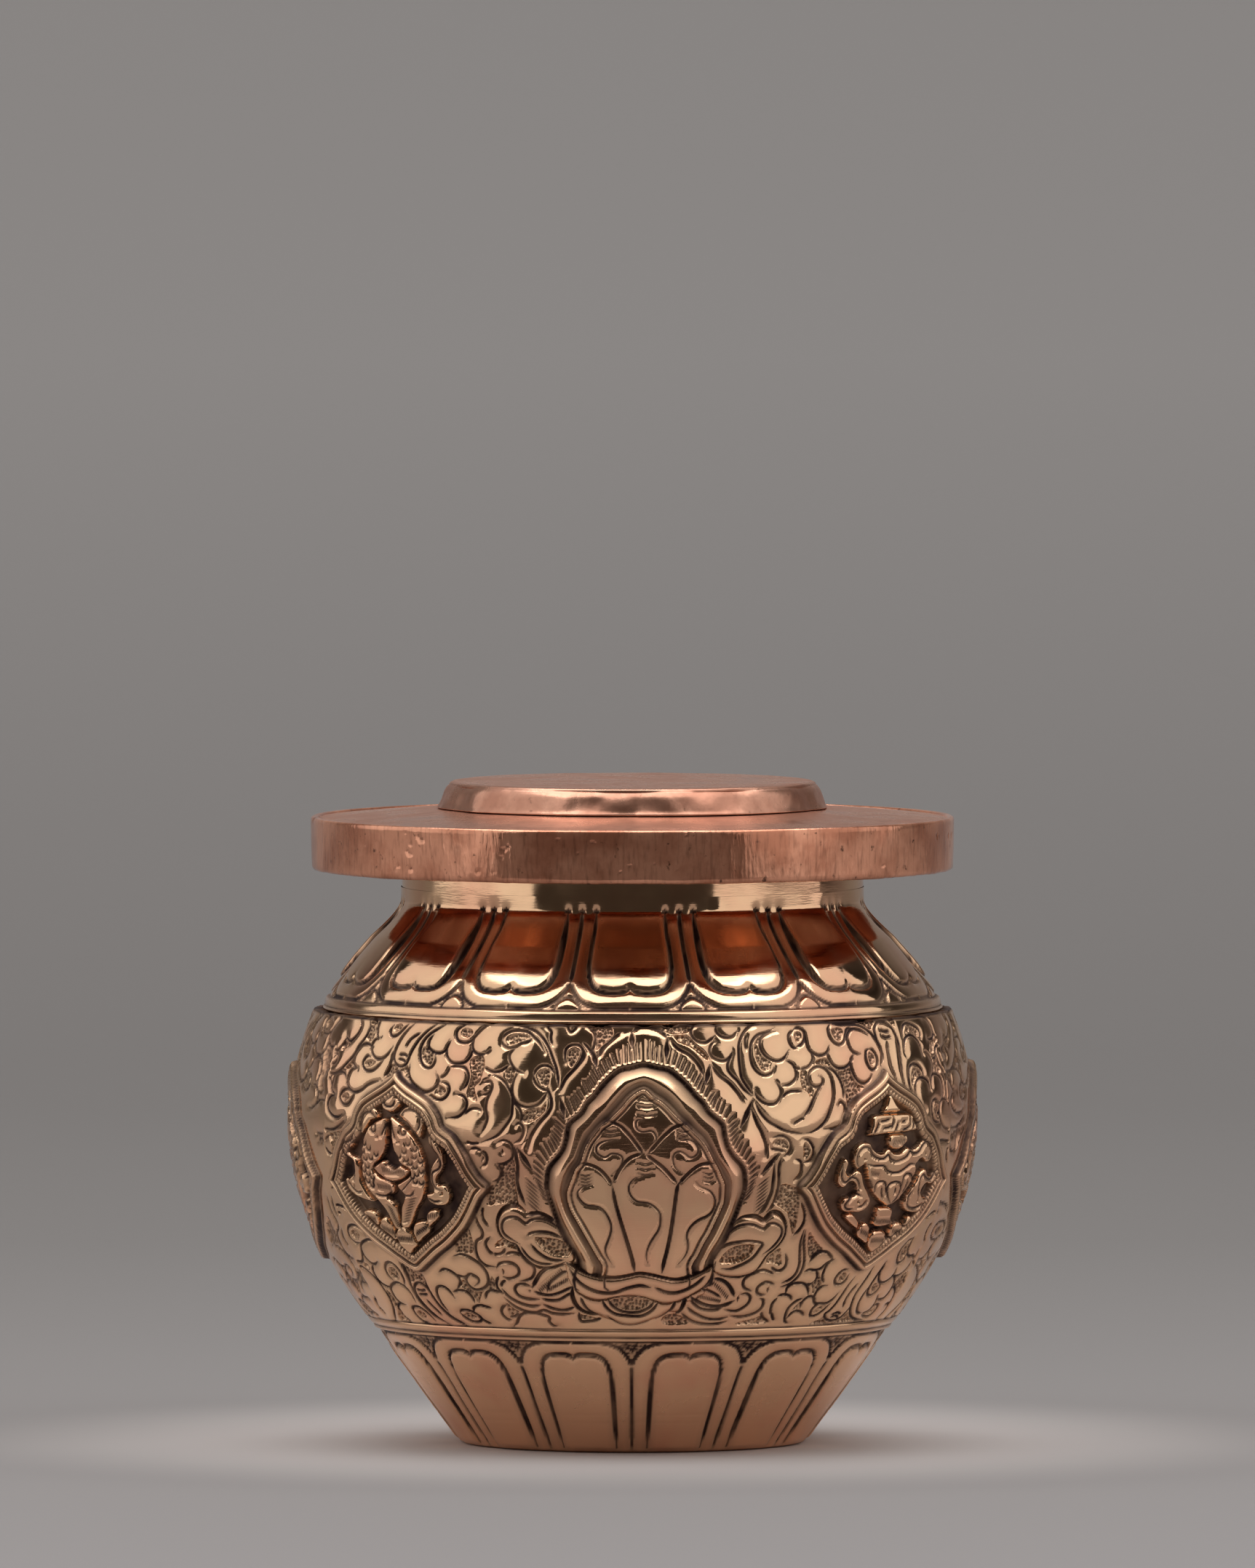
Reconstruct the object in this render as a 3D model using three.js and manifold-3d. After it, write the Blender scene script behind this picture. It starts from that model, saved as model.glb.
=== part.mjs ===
// A lidded ritual vase in sheet copper: a lotus foot, a full belly, a petalled shoulder with a plain
// neck, and a flat-rimmed lid that lifts off. Millimetres, +Z up, standing on z = 0 about the Z axis.
// The front is -Y. Angles are in degrees round the axis from the front, towards +X.
import * as THREE from 'three';
import { mergeVertices } from 'three/addons/utils/BufferGeometryUtils.js';
import Module from 'manifold-3d';

const wasm = await Module();
wasm.setup();

// Sheet and clearances
const wall = 1.1;
const footWall = 1.3;
const neckWall = 1.2;
const seamGap = 0.3;
const lidFit = 0.35;

// Belly: two half curves that meet at its widest line
const bellyRadius = 51.4;
const bellyRise = 29.55;
const bellyFall = 16.4;
const bellyFootInset = 11.2;
const bellyMouthInset = 3.4;

// Foot: a straight flared wall over a closed bottom
const footHeight = 19.45;
const footStep = 0.4;
const footFlare = 14.1;
const footCorner = 3;
const baseThickness = 1.3;
const footLap = 3;

// Shoulder and neck: a plain band, a swelling shoulder and a straight neck
const bandHeight = 2.1;
const bandTaper = 0.8;
const shoulderLap = 3.5;
const shoulderHeight = 14.5;
const neckRadius = 34.8;
const neckHeight = 12.29;
const swellInShare = 0.2;
const swellUpShare = 0.33;
const throatUpShare = 0.75;

// Lid: a slightly coned plate on a rim band, a raised boss on top and a collar that drops in the neck
const rimRadius = 48.55;
const rimDepth = 8;
const rimWall = 1.4;
const rimCorner = 0.8;
const plateThickness = 1;
const coneRise = 1.4;
const bossFootRadius = 29.4;
const bossTaper = 0.7;
const bossHeight = 4;
const bossCorner = 1;
const bossWall = 1.2;
const collarWall = 1;
const collarDepth = 8.5;

// Chased relief: how far cushions and frames stand out of the wall, and how deep they root in it
const petalLift = 0.7;
const frameLift = 1.1;
const frameWidth = 2.4;
const emblemLift = 1.1;
const jewelLift = 0.9;
const reliefRoot = 0.35;

// Lotus petals round the foot and the shoulder
const footPetals = 13;
const footPetalWidth = 11.2;
const footPetalFoot = 3.2;
const footPetalTip = 15.9;
const shoulderPetals = 15;
const shoulderPetalWidth = 11.6;
const shoulderPetalFoot = 2.4;
const shoulderPetalTip = 13.4;

// Medallions on the belly: one to each side of the jewel, the rest spread round the back
const medallions = 8;
const jewelSpan = 94.3;
const medallionHalfWidth = 16.2;
const medallionHeight = 22.9;
const medallionRise = 15.2;
const medallionFall = 13.9;
const emblemHalfWidth = 7.6;
const emblemTallShare = 0.84;
const emblemSeatHalfWidth = 8.6;
const emblemSeatTallShare = 0.27;

// Flaming jewel on its lotus seat, at the front of the belly
const jewelFoot = 9.6;
const jewelHeight = 29.6;
const jewelHalfWidth = 14.6;
const jewelBorder = 1.9;
const jewelInset = 2.9;
const seatRimWidth = 1.8;
const seatRimHeight = 2.8;
const seatRimDrop = 1.6;
const bowlDrop = 8.4;
const bowlHeight = 4.2;
const bowlHalfWidth = 6.6;
const flameWidth = 3.6;
const flameHeight = 9.6;

// Facets round the axis, along each curve of a profile, and along a frame's outline
const turnSteps = 48;
const cornerSteps = 2;
const bellySteps = 5;
const shoulderSteps = 5;
const frameSteps = 4;
const archSteps = 3;
const seatRimSteps = 10;

// Heights and radii that follow from these
const bellyHeight = footHeight + bellyRise;
const bellyTop = bellyHeight + bellyFall;
const bandTop = bellyTop + bandHeight;
const neckBase = bandTop + shoulderHeight;
const lipTop = neckBase + neckHeight;
const bellyFootRadius = bellyRadius - bellyFootInset;
const footTopRadius = bellyFootRadius - footStep;
const footRadius = footTopRadius - footFlare;

// How fast a profile widens with height, and the length along it for one unit of height
const probe = seamGap / 10;
const slopeAt = (radiusAt, height) => (radiusAt(height + probe) - radiusAt(height - probe)) / (2 * probe);
const stretchAt = (radiusAt, height) => Math.hypot(1, slopeAt(radiusAt, height));
const innerRadius = (radiusAt, thickness, height) =>
  radiusAt(height) - thickness * stretchAt(radiusAt, height);

// Radius of the outside of the vase's wall at a height
const footRadiusAt = (height) => footRadius + (footFlare * height) / footHeight;

function bellyRadiusAt(height) {
  const below = height < bellyHeight;
  const inset = below ? bellyFootInset : bellyMouthInset;
  const reach = below ? bellyRise : bellyFall;
  return bellyRadius - inset * ((height - bellyHeight) / reach) ** 2;
}

const bandRadius = innerRadius(bellyRadiusAt, wall, bellyTop) - seamGap;
const bandTopRadius = bandRadius - bandTaper;
const shoulderCurve = new THREE.CubicBezierCurve(
  new THREE.Vector2(bandTopRadius, bandTop),
  new THREE.Vector2(
    bandTopRadius - swellInShare * (bandTopRadius - neckRadius),
    bandTop + swellUpShare * shoulderHeight,
  ),
  new THREE.Vector2(neckRadius, bandTop + throatUpShare * shoulderHeight),
  new THREE.Vector2(neckRadius, neckBase),
);

function shoulderRadiusAt(height) {
  let low = 0;
  let high = 1;
  for (let halving = 0; halving < 30; halving += 1) {
    const middle = (low + high) / 2;
    if (shoulderCurve.getPoint(middle).y < height) low = middle;
    else high = middle;
  }
  return shoulderCurve.getPoint(low).x;
}

function wallRadius(height) {
  if (height < footHeight) return footRadiusAt(height);
  if (height < bellyTop) return bellyRadiusAt(height);
  if (height < bandTop) return bandRadius - (bandTaper * (height - bellyTop)) / bandHeight;
  return height < neckBase ? shoulderRadiusAt(height) : neckRadius;
}

// Profile helpers. Points are (radius, height).
const at = (radius, height) => new THREE.Vector2(radius, height);

function along(radiusAt, from, to, steps) {
  return Array.from({ length: steps + 1 }, (_, step) => {
    const height = from + ((to - from) * step) / steps;
    return at(radiusAt(height), height);
  });
}

function rounded(corner, before, after, radius) {
  const inward = before.clone().sub(corner).normalize();
  const outward = after.clone().sub(corner).normalize();
  const half = Math.acos(inward.dot(outward)) / 2;
  const reach = radius / Math.tan(half);
  const start = corner.clone().addScaledVector(inward, reach);
  const end = corner.clone().addScaledVector(outward, reach);
  const bisector = inward.clone().add(outward).normalize();
  const centre = corner.clone().addScaledVector(bisector, radius / Math.sin(half));
  const first = Math.atan2(start.y - centre.y, start.x - centre.x);
  const last = Math.atan2(end.y - centre.y, end.x - centre.x);
  const turn = Math.atan2(Math.sin(last - first), Math.cos(last - first));
  return Array.from({ length: cornerSteps + 1 }, (_, step) => {
    const angle = first + (turn * step) / cornerSteps;
    return at(centre.x + radius * Math.cos(angle), centre.y + radius * Math.sin(angle));
  });
}

// A closed geometry with shared corners and no flat triangles
function closed(positions, triangles) {
  const geometry = new THREE.BufferGeometry();
  geometry.setAttribute('position', new THREE.Float32BufferAttribute(positions, 3));
  geometry.setIndex(triangles);
  const merged = mergeVertices(geometry);
  const index = Array.from(merged.index.array);
  const kept = [];
  for (let corner = 0; corner < index.length; corner += 3) {
    const [a, b, c] = index.slice(corner, corner + 3);
    if (a !== b && b !== c && c !== a) kept.push(a, b, c);
  }
  merged.setIndex(kept);
  return merged;
}

// A profile turned round the Z axis
function turned(profile) {
  const points = [...profile];
  if (THREE.ShapeUtils.area(points) < 0) points.reverse();
  const onAxis = points[0].x === 0 && points.at(-1).x === 0;
  if (!onAxis) points.push(points[0].clone());
  const lathe = new THREE.LatheGeometry(points, turnSteps).rotateX(Math.PI / 2);
  return closed(Array.from(lathe.attributes.position.array), Array.from(lathe.index.array));
}

// Joins of closed solids
function toSolid(geometry) {
  const vertProperties = new Float32Array(geometry.attributes.position.array);
  const triVerts = new Uint32Array(geometry.index.array);
  return new wasm.Manifold(new wasm.Mesh({ numProp: 3, vertProperties, triVerts }));
}

function joined(body, additions) {
  const solid = additions.map(toSolid).reduce((whole, next) => whole.add(next), toSolid(body));
  const { vertProperties, triVerts } = solid.getMesh();
  return closed(Array.from(vertProperties), Array.from(triVerts));
}

// A place of the relief: millimetres round the wall from a middle angle, a height, and a lift out of the wall
function onWall(middle, across, height, lift) {
  const slope = slopeAt(wallRadius, height);
  const stretch = Math.hypot(1, slope);
  const turn = THREE.MathUtils.degToRad(middle) + across / wallRadius(height);
  const radius = wallRadius(height) + lift / stretch;
  return [radius * Math.sin(turn), -radius * Math.cos(turn), height - (lift * slope) / stretch];
}

// A crowned cushion. Each row gives shares of its height, and of its half width for its lean and its breadth.
const crownShares = [-1, -0.5, 0.5, 1];

function cushion({ middle, across: shift = 0, foot, height, halfWidth, lift, rows }) {
  const positions = rows.flatMap(([upShare, leanShare, wideShare]) =>
    crownShares.flatMap((share) => {
      const across = shift + halfWidth * (leanShare + share * wideShare);
      const crown = -reliefRoot + (lift + reliefRoot) * Math.sqrt(1 - share ** 2);
      return onWall(middle, across, foot + height * upShare, crown);
    }),
  );
  const columns = crownShares.length;
  const triangles = [];
  const quad = (a, b, c, d) => triangles.push(a, b, c, a, c, d);
  for (let row = 0; row + 1 < rows.length; row += 1) {
    const low = row * columns;
    const high = low + columns;
    for (let column = 0; column + 1 < columns; column += 1) {
      quad(low + column, low + column + 1, high + column + 1, high + column);
    }
    quad(low, high, high + columns - 1, low + columns - 1);
  }
  const top = (rows.length - 1) * columns;
  for (let column = 1; column + 1 < columns; column += 1) {
    triangles.push(0, column + 1, column, top, top + column, top + column + 1);
  }
  return closed(positions, triangles);
}

// A raised border that follows a line on the wall; points are (across, height)
const borderShares = [[-0.5, 0], [0, 1], [0.5, 0]];

function border({ middle, line, loop, width, lift }) {
  const count = line.length;
  const positions = line.flatMap((point, index) => {
    const before = loop ? line[(index + count - 1) % count] : line[Math.max(index - 1, 0)];
    const after = loop ? line[(index + 1) % count] : line[Math.min(index + 1, count - 1)];
    const stretch = stretchAt(wallRadius, point.y);
    const arrive = at(point.x - before.x, (point.y - before.y) * stretch).normalize();
    const leave = at(after.x - point.x, (after.y - point.y) * stretch).normalize();
    const run = arrive.clone().add(leave).normalize();
    const spread = Math.min(1 / Math.max(run.dot(leave), run.dot(arrive)), 2);
    return borderShares.flatMap(([acrossShare, upShare]) => {
      const offset = acrossShare * width * spread;
      return onWall(
        middle,
        point.x + offset * run.y,
        point.y - (offset * run.x) / stretch,
        -reliefRoot + (lift + reliefRoot) * upShare,
      );
    });
  });
  const corners = borderShares.length;
  const triangles = [];
  for (let step = 0; step < (loop ? count : count - 1); step += 1) {
    for (let corner = 0; corner < corners; corner += 1) {
      const a = step * corners + corner;
      const b = step * corners + ((corner + 1) % corners);
      const c = ((step + 1) % count) * corners + ((corner + 1) % corners);
      const d = ((step + 1) % count) * corners + corner;
      triangles.push(a, b, c, a, c, d);
    }
  }
  if (!loop) {
    const end = (count - 1) * corners;
    for (let corner = 1; corner + 1 < corners; corner += 1) {
      triangles.push(0, corner + 1, corner, end, end + corner, end + corner + 1);
    }
  }
  return closed(positions, triangles);
}

// A line through shares of a width and a height, eased between its points
function eased(shares, wide, tall, foot, steps) {
  const points = shares.map(([acrossShare, upShare]) => at(acrossShare * wide, foot + upShare * tall));
  return new THREE.SplineCurve(points).getPoints(steps);
}

const mirrored = (line) => line.map((point) => at(-point.x, point.y));

// Foot bowl, with a tongue that stands inside the belly
const petalUpShares = [[0, 0, 0.74], [0.78, 0, 1], [0.94, 0, 0.88], [1, 0, 0.55]];

function footBowl() {
  const top = footHeight - seamGap / 2;
  const tongueRadius = innerRadius(bellyRadiusAt, wall, footHeight + seamGap) - seamGap;
  const tongueInner = tongueRadius - wall;
  const lipOfFoot = at(footRadiusAt(top), top);
  const body = turned([
    at(0, 0),
    ...rounded(at(footRadius, 0), at(0, 0), lipOfFoot, footCorner),
    lipOfFoot,
    at(tongueRadius, top),
    at(tongueRadius, footHeight + footLap),
    at(tongueInner, footHeight + footLap),
    at(tongueInner, footHeight - footLap),
    ...rounded(
      at(innerRadius(footRadiusAt, footWall, baseThickness), baseThickness),
      at(innerRadius(footRadiusAt, footWall, footHeight - footLap), footHeight - footLap),
      at(0, baseThickness),
      footCorner - baseThickness,
    ),
    at(0, baseThickness),
  ]);
  const petals = Array.from({ length: footPetals }, (_, petal) =>
    cushion({
      middle: (360 * (petal + 0.5)) / footPetals,
      foot: footPetalFoot,
      height: footPetalTip - footPetalFoot,
      halfWidth: footPetalWidth / 2,
      lift: petalLift,
      rows: petalUpShares,
    }),
  );
  return joined(body, petals);
}

// Medallion: an ogee frame with cusped shoulders, an emblem on a cushion and a lotus seat below it
const ogeeRiseShares = [[0, 1], [0.2, 0.87], [0.45, 0.76], [0.57, 0.54]];
const ogeeShoulderShares = [[0.57, 0.54], [0.76, 0.41], [0.89, 0.2], [1, 0]];
const ogeeFallShares = [[1, 0], [0.86, 0.28], [0.5, 0.66], [0.25, 0.86], [0, 1]];
const emblemShares = [[0.4, 0, 0.3], [0.55, 0, 0.85], [0.85, 0, 0.9], [1, 0, 0.35]];
const emblemSeatShares = [[0, 0, 0.2], [0.4, 0, 0.8], [1, 0, 1]];

function medallion(middle) {
  const centre = footHeight + medallionHeight;
  const stretchOf = (shares, tall) => eased(shares, medallionHalfWidth, tall, centre, frameSteps);
  const right = [
    ...stretchOf(ogeeRiseShares, medallionRise).slice(0, -1),
    ...stretchOf(ogeeShoulderShares, medallionRise).slice(0, -1),
    ...stretchOf(ogeeFallShares, -medallionFall),
  ];
  const left = mirrored(right).slice(1, -1).reverse();
  const foot = centre - medallionFall + frameWidth;
  const inside = medallionRise + medallionFall - 2 * frameWidth;
  const raised = (halfWidth, tallShare, rows) =>
    cushion({ middle, foot, height: inside * tallShare, halfWidth, lift: emblemLift, rows });
  return [
    border({ middle, line: [...right, ...left], loop: true, width: frameWidth, lift: frameLift }),
    raised(emblemHalfWidth, emblemTallShare, emblemShares),
    raised(emblemSeatHalfWidth, emblemSeatTallShare, emblemSeatShares),
  ];
}

// Flaming jewel: a cusped arch in two borders round six stones, over the rims and the bowl of a lotus seat
const archShares = [
  [[-0.66, 0], [-0.87, 0.22], [-1, 0.43], [-0.81, 0.61]],
  [[-0.81, 0.61], [-0.77, 0.71], [-0.64, 0.79], [-0.44, 0.845]],
  [[-0.44, 0.845], [-0.3, 0.93], [0, 1]],
];
const stoneShares = {
  middle: { foot: 0.01, tall: 0.64, rows: [[0, 0, 0.14], [0.4, 0, 0.28], [0.74, 0, 0.38], [1, 0, 0.08]] },
  side: { foot: 0.01, tall: 0.57, rows: [[0, 0.35, 0.14], [0.4, 0.6, 0.24], [0.8, 0.73, 0.27], [1, 0.74, 0.1]] },
  upper: { foot: 0.51, tall: 0.31, rows: [[0, 0.43, 0.06], [0.5, 0.44, 0.34], [1, 0.45, 0.08]] },
  top: { foot: 0.68, tall: 0.3, rows: [[0, 0, 0.05], [0.5, 0, 0.38], [1, 0, 0.06]] },
};
const seatRimShares = [[-1, 1], [-0.8, 0.3], [-0.4, 0], [0, 0.35], [0.4, 0], [0.8, 0.3], [1, 1]];
const seatRimWideShares = [0.8, 0.88];
const bowlShares = [[0, 0, 0.35], [0.5, 0, 0.85], [1, 0, 1]];

// Each tongue of flame: where its foot stands beside the arch, and how far it leans as it rises
const flameShares = [
  { across: 1.14, up: 0.3, lean: 0.5, tall: 1 },
  { across: 1.04, up: 0.6, lean: -0.1, tall: 1.05 },
  { across: 0.72, up: 0.83, lean: 0.05, tall: 0.95 },
  { across: 0.36, up: 1.01, lean: -0.5, tall: 0.65 },
];
const tongueShares = [[0, 0, 0.75], [0.4, 1, 1], [0.75, 2.4, 0.5], [1, 2, 0.1]];

const flipped = (rows) => rows.map(([upShare, leanShare, wideShare]) => [upShare, -leanShare, wideShare]);

function jewel() {
  const foot = footHeight + jewelFoot;
  const innerHalfWidth = jewelHalfWidth - jewelInset;
  const innerHeight = jewelHeight - jewelInset;
  const arch = (wide, tall, width) => {
    const left = archShares.flatMap((shares) => eased(shares, wide, tall, foot, archSteps).slice(0, -1));
    const line = [...left, at(0, foot + tall), ...mirrored(left).reverse()];
    return border({ middle: 0, line, loop: false, width, lift: jewelLift });
  };
  const stone = (shares, rows = shares.rows) =>
    cushion({
      middle: 0,
      foot: foot + innerHeight * shares.foot,
      height: innerHeight * shares.tall,
      halfWidth: innerHalfWidth,
      lift: jewelLift,
      rows,
    });
  const tongue = (side, { across, up, lean, tall }) =>
    cushion({
      middle: 0,
      across: side * across * jewelHalfWidth,
      foot: foot + jewelHeight * up,
      height: flameHeight * tall,
      halfWidth: flameWidth / 2,
      lift: jewelLift,
      rows: tongueShares.map(([upShare, leanShare, wideShare]) => [upShare, side * lean * leanShare, wideShare]),
    });
  const flames = [-1, 1].flatMap((side) => flameShares.map((shares) => tongue(side, shares)));
  const seatRims = seatRimWideShares.map((wideShare, rim) => {
    const rimFoot = foot - seatRimDrop * (rim + 1);
    const line = eased(seatRimShares, jewelHalfWidth * wideShare, seatRimHeight, rimFoot, seatRimSteps);
    return border({ middle: 0, line, loop: false, width: seatRimWidth, lift: jewelLift });
  });
  const bowl = cushion({
    middle: 0,
    foot: foot - bowlDrop,
    height: bowlHeight,
    halfWidth: bowlHalfWidth,
    lift: jewelLift,
    rows: bowlShares,
  });
  return [
    arch(jewelHalfWidth, jewelHeight, jewelBorder),
    arch(innerHalfWidth, innerHeight, jewelBorder / 2),
    stone(stoneShares.middle),
    stone(stoneShares.side),
    stone(stoneShares.side, flipped(stoneShares.side.rows)),
    stone(stoneShares.upper),
    stone(stoneShares.upper, flipped(stoneShares.upper.rows)),
    stone(stoneShares.top),
    ...flames,
    ...seatRims,
    bowl,
  ];
}

// Belly: a barrel of sheet, open at the foot and at the shoulder, with its relief
function bellyShell() {
  const low = footHeight + seamGap / 2;
  const inner = (height) => innerRadius(bellyRadiusAt, wall, height);
  const body = turned([
    ...along(bellyRadiusAt, low, bellyHeight, bellySteps),
    ...along(bellyRadiusAt, bellyHeight, bellyTop, bellySteps - 1).slice(1),
    ...along(inner, low, bellyTop, bellySteps).reverse(),
  ]);
  const pitch = (360 - jewelSpan) / (medallions - 1);
  const frames = Array.from({ length: medallions }, (_, index) => medallion(jewelSpan / 2 + pitch * index));
  return joined(body, [...frames.flat(), ...jewel()]);
}

// Shoulder and neck: the band's lower edge goes down inside the belly's mouth
const petalDownShares = [[0, 0, 0.55], [0.08, 0, 0.88], [0.25, 0, 1], [1, 0, 0.74]];

function shoulderShell() {
  const lapInner = bandRadius - wall;
  const outside = shoulderCurve.getPoints(shoulderSteps);
  const lining = (height) => innerRadius(wallRadius, wall, height);
  const body = turned([
    at(bandRadius, bellyTop - shoulderLap),
    at(bandRadius, bellyTop),
    ...outside,
    at(neckRadius, lipTop),
    at(neckRadius - neckWall, lipTop),
    at(neckRadius - neckWall, neckBase),
    ...along(lining, bandTop + wall, neckBase - wall, shoulderSteps - 2).reverse(),
    at(lapInner, bellyTop),
    at(lapInner, bellyTop - shoulderLap),
  ]);
  const petals = Array.from({ length: shoulderPetals }, (_, petal) =>
    cushion({
      middle: (360 * petal) / shoulderPetals,
      foot: bandTop + shoulderPetalFoot,
      height: shoulderPetalTip - shoulderPetalFoot,
      halfWidth: shoulderPetalWidth / 2,
      lift: petalLift,
      rows: petalDownShares,
    }),
  );
  return joined(body, petals);
}

// Lid plate: a shallow cone that rests on the neck's lip, and whose edge is the top of the rim
const coneEdge = rimRadius - rimCorner;
const coneHeight = (radius) =>
  lipTop + seamGap + plateThickness + (coneRise * (neckRadius - radius)) / (coneEdge - bossFootRadius);
const rimTop = coneHeight(coneEdge);
const bossFoot = coneHeight(bossFootRadius);

function lidPlate() {
  const underside = rimTop - plateThickness;
  return turned([
    at(0, bossFoot),
    at(bossFootRadius, bossFoot),
    ...rounded(at(rimRadius, rimTop), at(coneEdge, rimTop), at(rimRadius, underside), rimCorner),
    at(rimRadius, underside),
    at(rimRadius - rimWall, underside),
    at(bossFootRadius, bossFoot - plateThickness),
    at(0, bossFoot - plateThickness),
  ]);
}

function lidRimBand() {
  const top = rimTop - plateThickness - seamGap;
  const foot = rimTop - rimDepth;
  const inside = rimRadius - rimWall;
  return turned([
    at(inside, foot),
    ...rounded(at(rimRadius, foot), at(inside, foot), at(rimRadius, top), rimCorner),
    at(rimRadius, top),
    at(inside, top),
  ]);
}

// Lid boss: a shallow cup turned over, soldered on the plate by its edge
function lidBoss() {
  const foot = bossFoot + seamGap;
  const top = bossFoot + bossHeight;
  const topRadius = bossFootRadius - bossTaper;
  return turned([
    at(0, top - bossWall),
    at(topRadius - bossWall, top - bossWall),
    at(bossFootRadius - bossWall, foot),
    at(bossFootRadius, foot),
    ...rounded(at(topRadius, top), at(bossFootRadius, foot), at(0, top), bossCorner),
    at(0, top),
  ]);
}

function lidCollar() {
  const outside = neckRadius - neckWall - lidFit;
  const inside = outside - collarWall;
  const top = coneHeight(outside) - plateThickness - seamGap;
  const foot = top - collarDepth;
  return turned([at(inside, foot), at(outside, foot), at(outside, top), at(inside, top)]);
}

// The vase and its lid
const gildedCopper = { color: 0xc39a66, metalness: 1, roughness: 0.28 };
const redCopper = { color: 0xb9795b, metalness: 1, roughness: 0.42 };

function piece(name, geometry, look) {
  geometry.computeVertexNormals();
  const mesh = new THREE.Mesh(geometry, new THREE.MeshStandardMaterial(look));
  mesh.name = name;
  return mesh;
}

const vase = new THREE.Group();
vase.add(
  piece('foot_bowl', footBowl(), gildedCopper),
  piece('belly_shell', bellyShell(), gildedCopper),
  piece('shoulder_shell', shoulderShell(), gildedCopper),
);

const lid = new THREE.Group();
lid.add(
  piece('lid_plate', lidPlate(), redCopper),
  piece('lid_boss', lidBoss(), redCopper),
  piece('lid_rim_band', lidRimBand(), redCopper),
  piece('lid_collar', lidCollar(), redCopper),
);

const kalash = new THREE.Group();
kalash.add(vase, lid);

export default kalash;
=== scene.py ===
import math

import bmesh
import bpy
import numpy as np
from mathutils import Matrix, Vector


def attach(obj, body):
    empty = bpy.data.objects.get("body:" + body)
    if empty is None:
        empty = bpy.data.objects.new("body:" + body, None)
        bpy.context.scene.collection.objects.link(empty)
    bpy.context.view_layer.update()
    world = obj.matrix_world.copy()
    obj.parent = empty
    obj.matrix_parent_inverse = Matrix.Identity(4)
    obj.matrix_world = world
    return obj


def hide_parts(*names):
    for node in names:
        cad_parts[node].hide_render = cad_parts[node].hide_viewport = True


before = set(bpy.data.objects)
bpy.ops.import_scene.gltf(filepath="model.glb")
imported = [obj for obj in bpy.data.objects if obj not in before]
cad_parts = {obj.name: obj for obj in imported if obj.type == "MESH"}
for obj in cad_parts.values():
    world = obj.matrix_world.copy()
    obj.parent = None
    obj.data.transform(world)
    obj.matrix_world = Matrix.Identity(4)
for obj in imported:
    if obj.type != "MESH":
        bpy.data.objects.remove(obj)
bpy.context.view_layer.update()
mm = 0.001
print('frame loaded:', ', '.join(sorted(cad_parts)))

# The lathe profile of the vase, in millimetres. Angles are in degrees round the axis, 0 at the front
# (-Y) and growing towards +X, and every height is above the surface that the vase stands on.
vase = {
    'footRadius': 25.7, 'footTopRadius': 39.8, 'footTop': 19.45,
    'bellyRadius': 51.4, 'bellyHeight': 49.0, 'bellyFootRadius': 40.2, 'bellyMouthRadius': 48.0,
    'bellyTop': 65.4, 'bandTop': 67.5, 'bandRadius': 46.6, 'bandTopRadius': 45.8,
    'neckRadius': 34.8, 'neckBase': 82.0, 'base': 1.3, 'widest': 52.2,
}
# The shoulder's curve, from the plain band up to the neck.
swellPoints = np.array([(vase['bandTopRadius'], vase['bandTop']), (43.6, 72.3), (vase['neckRadius'], 78.4),
                        (vase['neckRadius'], vase['neckBase'])])


def bezier(points, t):
    t = np.asarray(t)[..., None]
    return ((1 - t) ** 3 * points[0] + 3 * t * (1 - t) ** 2 * points[1]
            + 3 * t ** 2 * (1 - t) * points[2] + t ** 3 * points[3])


shoulderTable = bezier(swellPoints, np.linspace(0, 1, 200))


def wallRadius(z):
    z = np.asarray(z, float)
    v = vase
    foot = v['footRadius'] + (v['footTopRadius'] - v['footRadius']) * z / v['footTop']
    low = v['bellyRadius'] - (v['bellyRadius'] - v['bellyFootRadius']) * (
        (v['bellyHeight'] - z) / (v['bellyHeight'] - v['footTop'])) ** 2
    high = v['bellyRadius'] - (v['bellyRadius'] - v['bellyMouthRadius']) * (
        (z - v['bellyHeight']) / (v['bellyTop'] - v['bellyHeight'])) ** 2
    band = v['bandRadius'] + (v['bandTopRadius'] - v['bandRadius']) * (z - v['bellyTop']) / (
        v['bandTop'] - v['bellyTop'])
    swell = np.interp(z, shoulderTable[:, 1], shoulderTable[:, 0])
    return np.select([z < v['footTop'], z < v['bellyHeight'], z < v['bellyTop'], z < v['bandTop'],
                      z < v['neckBase']], [foot, low, high, band, swell], v['neckRadius'])


def wallSlope(z):
    z, probe = np.asarray(z, float), 0.05
    return (wallRadius(z + probe) - wallRadius(z - probe)) / (2 * probe)


def wallStretch(z):
    return np.hypot(1, wallSlope(z))


# Heights at even steps along the wall's profile.
def evenHeights(low, high, pitch):
    fine = np.linspace(low, high, 2000)
    run = np.concatenate([[0], np.cumsum(np.hypot(np.diff(fine), np.diff(wallRadius(fine))))])
    return np.interp(np.linspace(0, run[-1], round(run[-1] / pitch) + 1), run, fine)


# Traced lines are written as "angle,height angle,height ..." and run as smooth curves through their
# points. Where several lines stand in one text, a slash parts them.
def strokes(text):
    return text.split('/')


def path(text):
    return np.array([[float(n) for n in pair.split(',')] for pair in text.split()])


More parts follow.
